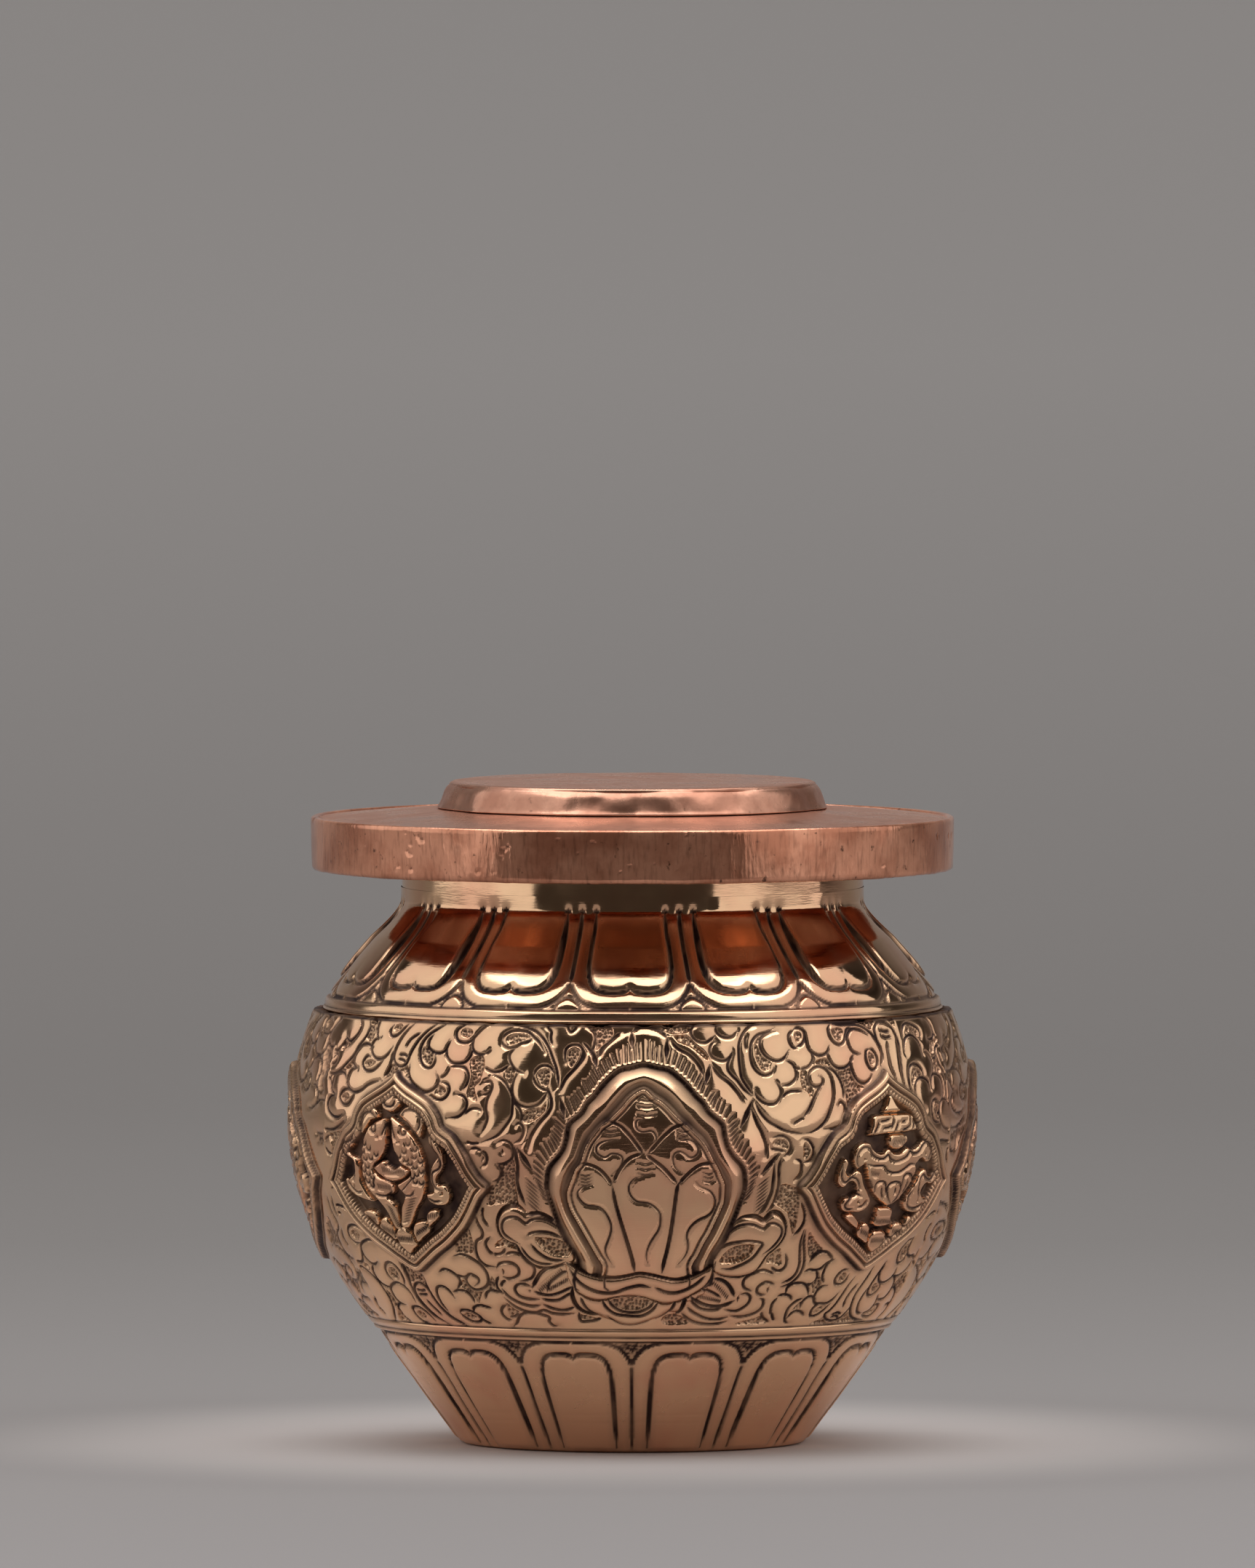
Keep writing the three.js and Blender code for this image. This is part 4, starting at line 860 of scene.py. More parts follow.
# The left medallion, two fish over a lotus, and the foliage round it; its neighbour tiles repeat it.
fish = {
    'centre': -45.7,
    'pads': strokes('''
        -47.2,50.9 -49.3,50.6 -51.1,49.9 -52.4,48.6 -53.3,47 -53.8,45 -54.2,43 -53.8,41.4 -53.1,40.2
        -52,39.3 -50.6,38.2 -49.4,37 -48.7,35.4 -48.1,34.3 -47,34.6 -46.7,36.2 -46.8,38 -48.3,39.2
        -46.8,39.7 -46.1,40.9 -47.3,41.6 -49.7,42.2 -51.1,43.3 -49.4,44.5 -48,45.8 -47.3,47.6 / -46.3,51.2
        -44.8,50.8 -43.1,49.8 -41.4,48.6 -40.1,47 -39.3,45.4 -39,43.8 -39.2,41.6 -39.8,39.8 -40.7,38.6
        -42.1,37.4 -43.1,36.2 -44.3,34.9 -45.1,34.5 -46.6,34.9 -46,36.4 -45.4,37.9 -44.4,39.3 -45.8,40.9
        -44.7,41.6 -42.8,42.4 -42.3,43.4 -44.3,44.3 -45.4,45.8 -46,47.8 / -51.1,43.4 -49.7,44.2 -48.3,44.7
        -47.3,43.9 -46,43.5 -44.6,44 -43.6,43.7 -42.3,43.3 -43,42.5 -44.3,41.8 -46,41.4 -47.8,41.6
        -49.4,42.3 / -48.8,53.4 -48.3,52.4 -47.1,51.9 -45.7,51.9 -44.6,52.6 -44.1,53.5 -45.1,54.2 -46,55.3
        -47,54.4 -48.1,53.9 / -53.7,48.4 -54.3,49.8 -54,51.4 -52.7,52.4 -51.1,52.7 -49.7,52.2 -49.3,51
        -51.1,50.4 -52.4,49.2 / -44.3,51.4 -43.4,52.6 -41.8,53 -40.3,52.6 -39.1,51.4 -39.1,49.8 -39.7,48.2
        -40.8,49 -42.4,50.3 / -55.3,49.4 -56.1,48.2 -58.3,47 -58.7,45.6 -57.7,44.6 -56.3,44.2 -56.3,42.8
        -57.7,41.8 -59.1,41.6 -58.7,40 -57,39 -54.7,38.5 -52.1,38.3 -53.4,39.6 -54.7,41.6 -54.7,43.6
        -55.3,44.8 -57.1,45.6 -55.4,46.9 -54.4,48.4 / -37.8,49.6 -38.1,48 -37.4,46.4 -36.4,45.6 -37.3,44.6
        -38,43.4 -38.2,41.8 -37.7,40.4 -39.3,39.9 -39.1,38.8 -37.4,38.2 -35.4,38.3 -34.4,39.4 -34.7,41
        -35.7,41.5 -36.7,41.4 -36.7,42.4 -35.7,43.4 -35.1,44.8 -35.3,46.4 -36.3,47.8 -37.3,48.6 / -48.8,33
        -48.1,34.2 -46.7,34.8 -45.3,34.4 -44.3,33.2 -43.8,32 -45.1,31.2 -46.3,30.4 -47.4,31.2 -48.4,32 /
        -52.3,34.3 -51.7,35.6 -50.3,36.1 -49.2,35.4 -48.8,34 -48.8,32.6 -50.4,33.2 / -55.8,36.6 -54.4,37.1
        -52.7,36.8 -52,36 -52.7,34.6 -54.3,35.5 / -44.1,33.9 -43.3,35.3 -41.7,35.8 -40.4,35.4 -40,34.2
        -41.8,33.2 -43.4,32.4 / -40.4,36.4 -39.4,37.4 -37.7,37.5 -37.2,36.6 -38.7,35.5 -40,34.9'''),
    'lines': strokes('''
        -48.2,53.6 -47.7,52.9 -46.8,52.7 -45.8,52.9 -45.3,53.8 / -53.3,48.9 -53.4,50.2 -52.7,51.4 -51.3,51.7
        -49.8,51 / -43.8,51 -43.3,52 -42.1,52.3 -40.7,52.1 -39.8,51.3 -39.8,50 -40.4,49.2 / -47.2,50.4
        -47.6,49.4 -48.4,48.3 / -46.1,50.4 -45.7,49.2 -45.1,47.9 / -51.1,43.4 -49.8,42.5 -48.1,41.8
        -46.3,41.4 -44.4,41.8 -43.1,42.5 -42.3,43.4 / -48.3,44.8 -50.1,44.2 -51.3,43.3 / -50.8,42.3 -51.4,41
        -51.4,40.4 / -51.2,39.6 -49.7,39.3 -48.1,39.5 -46.8,40.2 / -46,41.3 -45.3,40.3 -44.1,39.6 -42.7,39.6
        -41.8,40.4 / -55.4,48.4 -56.3,47.4 -58.1,46.9 -58.7,46 -58.3,45 -57.1,44.6 -56.1,44 -56.1,42.6
        -56.7,41.4 / -58.4,41.2 -57.4,40.2 -56.1,39.6 -54.7,39.8 / -37.3,48 -37.3,47 -36.3,45.8 -35.7,44.8
        -36.1,43.8 -37.4,43.2 -37.7,42 -37.1,40.9 -35.8,40.6 / -39.1,39.4 -37.8,38.9 -36.3,39'''),
    'rings': strokes('-50.3,49.4 0.5 / -43.3,49.2 0.55'),
    'holes': strokes('-49.3,48.1 0.4 / -44.3,47.5 0.4 / -56.8,40.6 0.35 / -36,40.1 0.35'),
    'scales': '''
        -52.7,47 -51.6,46.3 -53.2,45.9 -49.8,45.5 -51.2,44.9 -52.6,44.8 -53.8,44.2 -52.3,43.6 -53.3,43
        -52.3,42.5 -51.3,42 -53.6,41.9 -52.6,41.4 -51.6,40.8 -42.3,47.3 -40.8,46.5 -43.2,46.1 -44.4,45.4
        -41,45.4 -42.8,44.9 -42,44.4 -39.8,44.8 -41,43.9 -39.8,43.3 -40.8,42.8 -41.8,42.4 -41.3,41.7
        -40,41.6''',
    'hatches': [
        (-48.7, 43.8, -43.8, 43.6, 0.35, -1.1, 13), (-50.4, 41.2, -47.4, 41.1, 0.35, -0.95, 9),
        (-44.8, 40.2, -42.7, 41.7, 1.1, 0.5, 7), (-48.8, 38, -47.7, 35, 1.3, -0.8, 8),
        (-45.7, 35.5, -43.3, 38.9, 1.8, 0.4, 9), (-48.3, 33.4, -44.8, 33.4, 0.1, -0.9, 11),
        (-51.7, 35, -49.3, 34.4, 0.3, -1.1, 7), (-43.4, 33.4, -40.8, 34.4, 0.5, 1, 9),
        (-54.7, 36.4, -53.1, 36.1, 0.3, -1, 5), (-40.1, 36.1, -37.4, 36.5, 0.1, 0.8, 7),
    ],
}
leftTile = {
    'lines': strokes('''
        -44.3,65.2 -45.6,64.2 -46.7,62.9 -47.5,61.3 -47.6,60 -46.9,59.1 -45.6,58.7 -44.3,59.2 -43.9,60.4
        -43.3,61.6 -42.2,63.1 -40.6,64.4 -38.8,65.4 / -42.5,63.8 -44.1,63 -44.8,62.3 -45.2,61.6 / -46.4,60.4
        -45.4,60.5 -44.3,60.2 / -46.4,59.8 -45.4,59.7 -44.6,59.4 / -43.5,59.1 -43.4,57.6 -42.5,56.5
        -41.2,55.7 -39.6,55.1 -38.3,55.3 -37.2,56 -36.8,57 -37.6,58 / -36.9,65.3 -38.8,64.5 -40.4,63.6
        -41.4,62.5 -41.7,61.2 -41.2,59.7 -40.1,58.8 -38.8,58.8 -38.1,59.7 -38.3,60.7 / -39.4,63.7 -40.1,62.8
        -40,61.8 -39.1,61.2 -37.7,60.9 -36.4,61.3 -36,62.1 -35.5,62.9 / -36,62 -35.9,60.7 -34.8,59.7
        -33.5,59.5 -31.9,59.8 -31,60.7 -30.9,61.6 / -30.9,63.6 -31,62.3 -30.4,61.3 -29.1,60.9 -28,61.2 /
        -32.7,65.3 -34.3,64.7 -34.7,63.9 -34.1,62.9 -32.7,62.6 -31.4,62.9 -30.6,63.7 -29.3,64.9 -28,65.3 /
        -34.7,58.9 -33.5,59.1 -31.9,58.9 -31,57.9 -31,56.8 -31.7,55.7 / -36.4,57.3 -35.4,57.9 -34.8,58.9 /
        -36.4,56.8 -34.8,56.3 -34.4,55.4 -35.1,54.4 -36.4,54 -37.7,54.4 -38.3,54.9 / -33,55 -31.6,54.7
        -30.8,53.7 -31.2,52.5 -32.5,51.6 -34.3,51.4 / -31.2,52 -30.1,52.8 -28.8,52.9 -28,52.6 / -30.9,47.9
        -29.8,47.7 -28.3,47.8 / -30.1,46.8 -29.1,47 -28,46.6 / -49.8,64.7 -50,63.7 -49.3,63.1 -48,63.3
        -46.9,64.1 -45.9,65 / -52.2,62.9 -53.7,62.3 -54.1,61.3 -53.5,60.4 -52.2,59.7 -50.6,59.7 -49.3,60.4
        -48.4,61.7 / -53.8,65.2 -53.8,64.1 -53.3,63.1 -52.9,62.6 / -56.9,65.3 -56.2,64.4 -56.2,63.3
        -56.9,62.3 -58,61.3 -58.5,60.4 -59.3,59.5 -60.6,58.6 -62.2,57.6 -64.1,57 -65.9,57 -67.2,57.6 /
        -59.8,65.3 -58.9,64.2 -59.3,63.1 -60.6,62.1 -61.7,62 -63,62.6 / -62.7,62.5 -63.3,61.5 -64.6,60.5
        -65.9,60.5 -66.9,61.3 / -65.6,60 -64.3,59.8 -64.2,59.1 -64.8,58.5 -66,58.3 / -50.4,59.5 -51.2,58.6
        -52.5,57.9 -54.1,57.8 -55.2,58.3 -55.5,59.1 -54.8,59.9 -53.8,60 / -53.8,61.3 -55.1,61.7 -56.7,61.6
        -58,60.8 -58.7,59.7 -58.3,58.6 -56.7,58 / -56.7,58.1 -58.3,57.9 -59.2,57 -59.3,55.8 -58.3,54.9
        -56.7,54.5 -54.8,54.9 -53.3,55.7 -51.7,56.2 -49.8,56.5 / -48.1,61 -48,59.5 -48.4,58.3 -49.3,57 /
        -59.6,56.3 -60.6,57.1 -62.2,57.3 -63.7,56.8 -64.1,55.7 -64.1,54.5 -62.5,53.9 / -68,56.5 -66.4,56.5
        -65.1,56 -64.3,55 / -57.5,54.5 -59.1,54.9 -60.5,54.4 -60.9,53.4 -59.8,52.6 -58.3,52.7 -57.2,53.6
        -56.7,54.4 / -62.5,53.7 -64.1,53.6 -65,52.6 -64.6,51.5 -63,50.7 -61.2,50.6 -59.6,51.2 / -68,48.8
        -65.4,48.6 -62.7,48.7 -60.6,49.4 -59.1,50.2 / -64.1,47.8 -65.6,47.1 -65.9,46.2 -65.1,45.2 -63.8,44.9
        / -44.3,19.5 -46.7,20.4 -48.5,21.6 -49.8,23.2 -50.1,24.4 -49.6,25.3 -48.3,25.9 -46.9,25.7 -45.9,24.8
        -45.6,23.6 -44.8,22.2 -43.5,21 -41.7,20.1 -39.8,19.6 / -49.3,24.9 -48,24.7 -46.9,24.9 / -49.3,24.1
        -48,24.1 -46.9,24.2 / -47.9,23.3 -47.2,22.5 -46.4,21.8 -45.6,21 / -51.2,29.4 -50.5,27.8 -50.4,25.9
        -50.6,24.4 -50.1,22.8 -48.5,21.2 -46.2,20 / -52.5,25.4 -51.8,26.6 -52.2,28 -53.5,28.8 -55.1,28.7
        -56.3,27.8 -56.3,26.8 -55.4,26 / -57.7,28.9 -59.1,28.4 -60.4,28.5 -61.6,29.4 -61.8,30.4 -61.2,31.3
        -59.6,31.9 -57.7,32.2 -56.4,31.9 / -60.1,28.3 -61,27.4 -61,26.3 -60.1,25.4 -58.5,24.9 -57.7,25 /
        -55.5,22.3 -56.9,22.4 -57.9,23.2 -58,24.1 -57.7,24.8 -56.4,25.4 -54.6,25.7 -53,25.3 -51.9,24.4
        -51.7,22.8 / -56.7,22.5 -58.3,22.2 -59.2,21.5 -58.8,20.4 -57.5,19.7 / -50.9,19.7 -52.5,19.8
        -53.8,20.7 -53.8,21.8 -52.5,22.1 -51.2,22 -49.8,21.3 -48.5,20 / -68,36.5 -66.4,37 -64.6,37.1
        -62.7,36.8 -60.9,36.2 / -68,35.4 -67.2,35.8 -65.9,36 -64.8,35.9 / -58.3,32.7 -59.1,33.6 -60.9,34.2
        -63,34.1 -64.3,33.3 -64.3,32.2 -63,31.5 -61.2,31.6 / -65.9,32 -66.7,31.5 -68,31.3 / -66.4,31.3
        -67.2,30.3 -66.7,29.1 -65.1,28.5 -63.5,28.7 -62.5,29.5 -62.1,30.6 / -65.1,40 -66.4,39.2 -66.7,38
        -65.6,37.3 / -68,27.5 -65.9,27.8 -64.1,27.5 -62.2,26.6 -60.9,25.3 -60.4,23.6 -60.9,21.9 -62.7,20.4
        -64.1,19.5 / -41.4,27.8 -39.8,28.3 -38.3,28 -37.1,27.2 -37.1,26.2 -38.3,25.3 / -43.1,21.6 -43.9,22.8
        -44.1,24.2 -43.4,25.3 -41.9,25.6 -40.6,25.1 -39.8,23.8 / -39.6,24.8 -38,25.1 -36.4,25 -35.4,24.2
        -35.2,23.3 / -36.7,30.4 -35.1,30.7 -33.3,30.4 -31.4,29.4 -30.4,28 -30.6,26.5 -31.9,25.6 -33.8,25.3
        -35.1,25.9 -35.4,26.9 -34.1,27.7 -32.7,27.2 -32.7,26.5 -33.9,25.9 / -37.5,27.5 -35.6,27.2 -34.6,27.5
        / -36.4,21.8 -35.9,22.5 -34.3,22.9 -32.7,22.7 -31.7,22.5 / -40.1,21.6 -39.3,22 -37.5,22 -36.2,21.6
        -35.1,20.9 -35.9,20.3 -37.7,20.3 -39.3,20.9 -40.1,21.6 / -35.8,21.2 -34.6,20.5 -33.2,20 / -45.9,27.4
        -46,25.6 -45.5,23.6 -44.4,22 -42.4,20.6 -40,19.8 / -32.3,24 -31.6,24.9 -30.2,25.3 -28.6,25 /
        -28,27.5 -28.8,26.6 -28.9,25.6 -28,24.8 / -28,23.1 -29.2,22.6 -29.7,21.7 -29,20.9 -28,20.7 /
        -30.4,38 -30.2,36 -29.4,34.4 -29.8,33.4 -31,32.8 -31.5,31.4 -31.2,30 -30,29.1 -28,29 / -28.6,38.2
        -28.9,36.6 -28,35.2 / -28,33.6 -29.2,32.6 -28.8,31.4 -28,31'''),
    'eyes': strokes('''
        -41.3,61.5 -40.2,61.8 -38.6,60.8 -38.6,59.4 -39.6,59 -41,60 / -33.6,64.5 -32.6,64.9 -31.2,64.3
        -31.6,63.5 -32.8,63.3 -33.6,63.8 / -36.9,56.2 -35.4,56 -35,55.2 -36,54.6 -37.2,55 / -49.3,64.4
        -48.2,64.9 -47,64.7 -47.8,63.9 -49,63.7 / -54.9,59 -53.8,59.5 -52.4,59.4 -52,58.9 -53.3,58.4
        -54.6,58.4 / -60.2,53.8 -58.7,54.4 -57.9,53.7 -58.8,53.1 -59.9,53.1 / -55.6,27.6 -54.4,28.2
        -52.9,27.9 -52.7,26.6 -54,26.2 -55.4,26.6 / -53,21.2 -51.6,21.6 -50.3,20.9 -51.2,20.3 -52.6,20.5 /
        -63.4,33.2 -61.4,33.7 -60.2,32.9 -61.2,32.1 -63,32.2 / -39.3,21.4 -37.6,21.7 -35.9,20.9 -37.6,20.6
        -39,21'''),
    'grounds': strokes('''
        -30.8,60.3 -29,60.8 -28,60 -28.5,57 -29.5,56 -28.8,54 -30.5,54.5 -30.7,56 -30.3,58 -30.8,59.5 /
        -56,65.2 -54.2,65.2 -54,63 -54.6,62.2 -56.2,62.4 -55.9,63.5 / -48.6,58.6 -47.3,59 -46.1,58.3
        -47.6,57.2 -49,57 / -45.3,58.2 -44.2,59 -43.6,58.5 -43.3,57 -44.5,57.4 / -50.8,29 -49.5,29.5
        -47.5,28 -46,27.3 -45.6,26.3 -46.3,25.8 -48.3,26.2 -50,26 -50.5,27.5 / -63.5,28.4 -61.8,28.4
        -61.6,27.6 -63.2,27.6 / -60,24.4 -58.7,24 -58.6,22.4 -60,21.8 / -60.2,21 -58.6,21.6 -58.6,19.8
        -61.2,19.8 / -35.4,33 -34,34 -32.2,35 -31.6,32.6 -32.3,31 -34.4,30.9 -36,31.2 / -37.4,26 -36,26.8
        -35.4,25.8 -34.2,25 -32.4,25.2 -31,26 -30.2,26.8 -29.3,27.6 -29.4,25.6 -32,25.2 -33.4,24 -34.2,23.2
        -35,24.2 -36.4,25.3 / -59.6,58.9 -58.6,59.2 -58.9,58 -60.6,57.9 / -63.4,61.6 -62,62 -60.4,61.8
        -61.8,60.8 -63,60.4 / -58.8,48.6 -60.4,48.6 -63,48.3 -64.4,47.9 -63.4,46.4 -64,44.6 -63,45.4
        -61.4,47.2'''),
}

# The right medallion, a treasure vase over a lotus, and the foliage round it.
treasure = {
    'centre': 46.2,
    'pads': strokes('''
        46.7,54.6 45.7,53 44.9,51.8 46.9,51.7 49.3,51.8 48.1,53 / 42.5,51.4 47.2,51.5 51.7,51.4 53.1,50
        54.4,48.9 49.7,48.6 45.7,48.5 41.5,48.4 41.9,49.8 / 46.3,48.3 48.5,48.5 50.7,48.2 50.6,47 49.1,46.2
        47.3,46.2 46,46.9 / 39.1,43.4 38.1,44.8 38.3,46.4 39.7,47.4 41.5,47.4 42.5,46.4 43.7,45.8 45.1,45.8
        46.1,46.4 47.3,45.8 49.3,45.7 51.1,46.4 52.7,46 54.3,46.6 55.7,47.3 57.3,47.2 58.6,46.2 58.6,44.6
        57.3,43.8 55.5,44.4 54.1,43.9 53.6,42 52.1,39.9 50.2,38.4 48.1,37.6 46.1,38.2 44.1,39.2 42.5,40.8
        41.6,42.4 41.1,43.8 40.3,44 / 45.3,37.4 47.1,37.6 49.2,37.3 49.6,36 50.5,34.9 47.7,34.5 45.1,34.9
        45.4,36.2 / 47.5,34.1 45.7,33.8 45,32.4 45.9,31.1 47.6,30.4 49.1,31.1 49.9,32.4 49.1,33.7 /
        43.1,35.4 41.7,34.6 41.6,33.4 43.1,32.6 44.7,32.1 44.9,33.6 44.3,34.8 / 52.1,35.1 50.6,34.4 50.5,33
        51.1,32 52.9,32.6 54.2,33.6 53.5,34.7 / 39.3,36.9 37.7,36.4 39.3,35.2 41.3,34.4 41.1,35.8 / 54.9,36
        56.6,35.4 57.3,35 56.1,34 54.5,33.7 53.7,34.7 / 36.1,45.2 35.1,43.4 35,41.6 36.3,40.7 37.9,41.6
        39.3,41 39.5,39.8 38.3,39.4 36.9,39.2 36.3,38.2 37.1,37.2 38.9,37 40.7,36.9 42.3,37.4 43.1,38.6
        42.3,39.8 40.9,41.4 40.1,43 38.9,43.4 37.7,42.6 36.7,43.2 37.1,44.6 / 61.1,43.6 59.7,42 58.1,42
        56.9,43 55.5,42.4 54.3,41 53.1,39.6 52.1,38 53.1,36.8 55.3,36.3 57.7,36.4 59.2,37.4 58.9,38.6
        57.5,38.8 56.7,39.8 57.9,40.6 59.5,40.4 61.1,41.2 61.7,42.4'''),
    'lines': strokes('''
        43.5,50.4 43.1,49.6 42.5,48.8 / 43.9,50.4 44.9,50.5 46.1,50.7 / 47.1,50.8 46.9,49.9 46.6,49.4 /
        44.6,49.4 45.7,49.5 46.6,49.7 / 48.3,50.1 47.9,49.4 47.6,49 / 49.3,50.2 50.3,50.3 / 51.6,50.8
        51.6,49.9 51.3,49.4 / 49.5,49 50.5,49.2 51.3,49.5 / 52.3,50.4 52.5,49.6 52.3,49.2 / 52.9,50.2
        53.3,49.6 53.6,49.2 / 39.6,43.5 38.8,44.5 38.9,45.8 40.1,46.7 41.5,46.5 42.2,45.6 43.5,45 44.9,44.9
        46,45.4 46.7,44.8 48.1,44.4 49.7,44.6 50.9,45 51.7,45.7 52.9,45.4 54.3,45.6 55.5,46.6 56.9,46.9
        58,46 57.9,44.8 56.9,44.5 / 40.7,44.3 42.7,43.9 45.1,43.8 46.1,43.1 47.7,42.7 49.5,42.8 51.1,43.4
        52.1,43.8 53.5,43.8 / 42.1,41.9 43.1,40.5 / 43.7,39.8 43.6,41 44.5,41.5 45.9,41.3 46.4,40.3
        46.6,39.5 / 45.3,40.6 45.4,39.8 45.9,39 / 48.3,38 47.2,39.2 46.7,40.5 47.4,41.1 48.7,41.3 50,41
        50.3,40 49.7,38.9 48.5,38.1 / 48.9,40.4 48.8,39.6 / 50.6,40.4 50.6,41.8 51.5,42.4 52.7,42.2
        53.1,41.2 52.2,40 50.7,38.9 / 51.9,41.4 51.7,40.5 51,39.6 / 35.9,44.2 35.7,42.6 36.6,41.6 37.9,42.3
        39.3,41.9 40.1,40.6 / 40.6,39.5 39.3,39.8 38.1,39 37.3,38.2 37.9,37.6 39.1,37.6 / 42.1,38.8 41.3,38
        40.3,37.8 / 60.9,42.8 59.3,41.3 57.7,41.5 56.5,42.1 55.6,41.2 55.7,39.8 56.3,38.8 / 54.1,40 53,38.6
        53.5,37.5 55.1,37.1 56.7,37.2 58,37.6'''),
    'rings': [],
    'holes': strokes('40.5,45 0.35 / 56.3,45.2 0.35 / 38.6,40.2 0.3 / 40.2,38.6 0.35 / 56.1,38.2 0.35'),
    'scales': '',
    'hatches': [
        (47.5, 47.6, 50.1, 47.8, -0.3, -0.9, 7), (45.6, 35.9, 49.7, 35.7, 0.1, -0.8, 11),
        (45.9, 33, 49.1, 33, 0.1, -0.9, 9), (42.3, 34.6, 44.3, 34, 0.2, -0.9, 7),
        (51.1, 34.2, 53.3, 34, 0.1, -0.8, 6), (42.3, 43.2, 43.9, 43, 0.2, -0.8, 5),
    ],
}
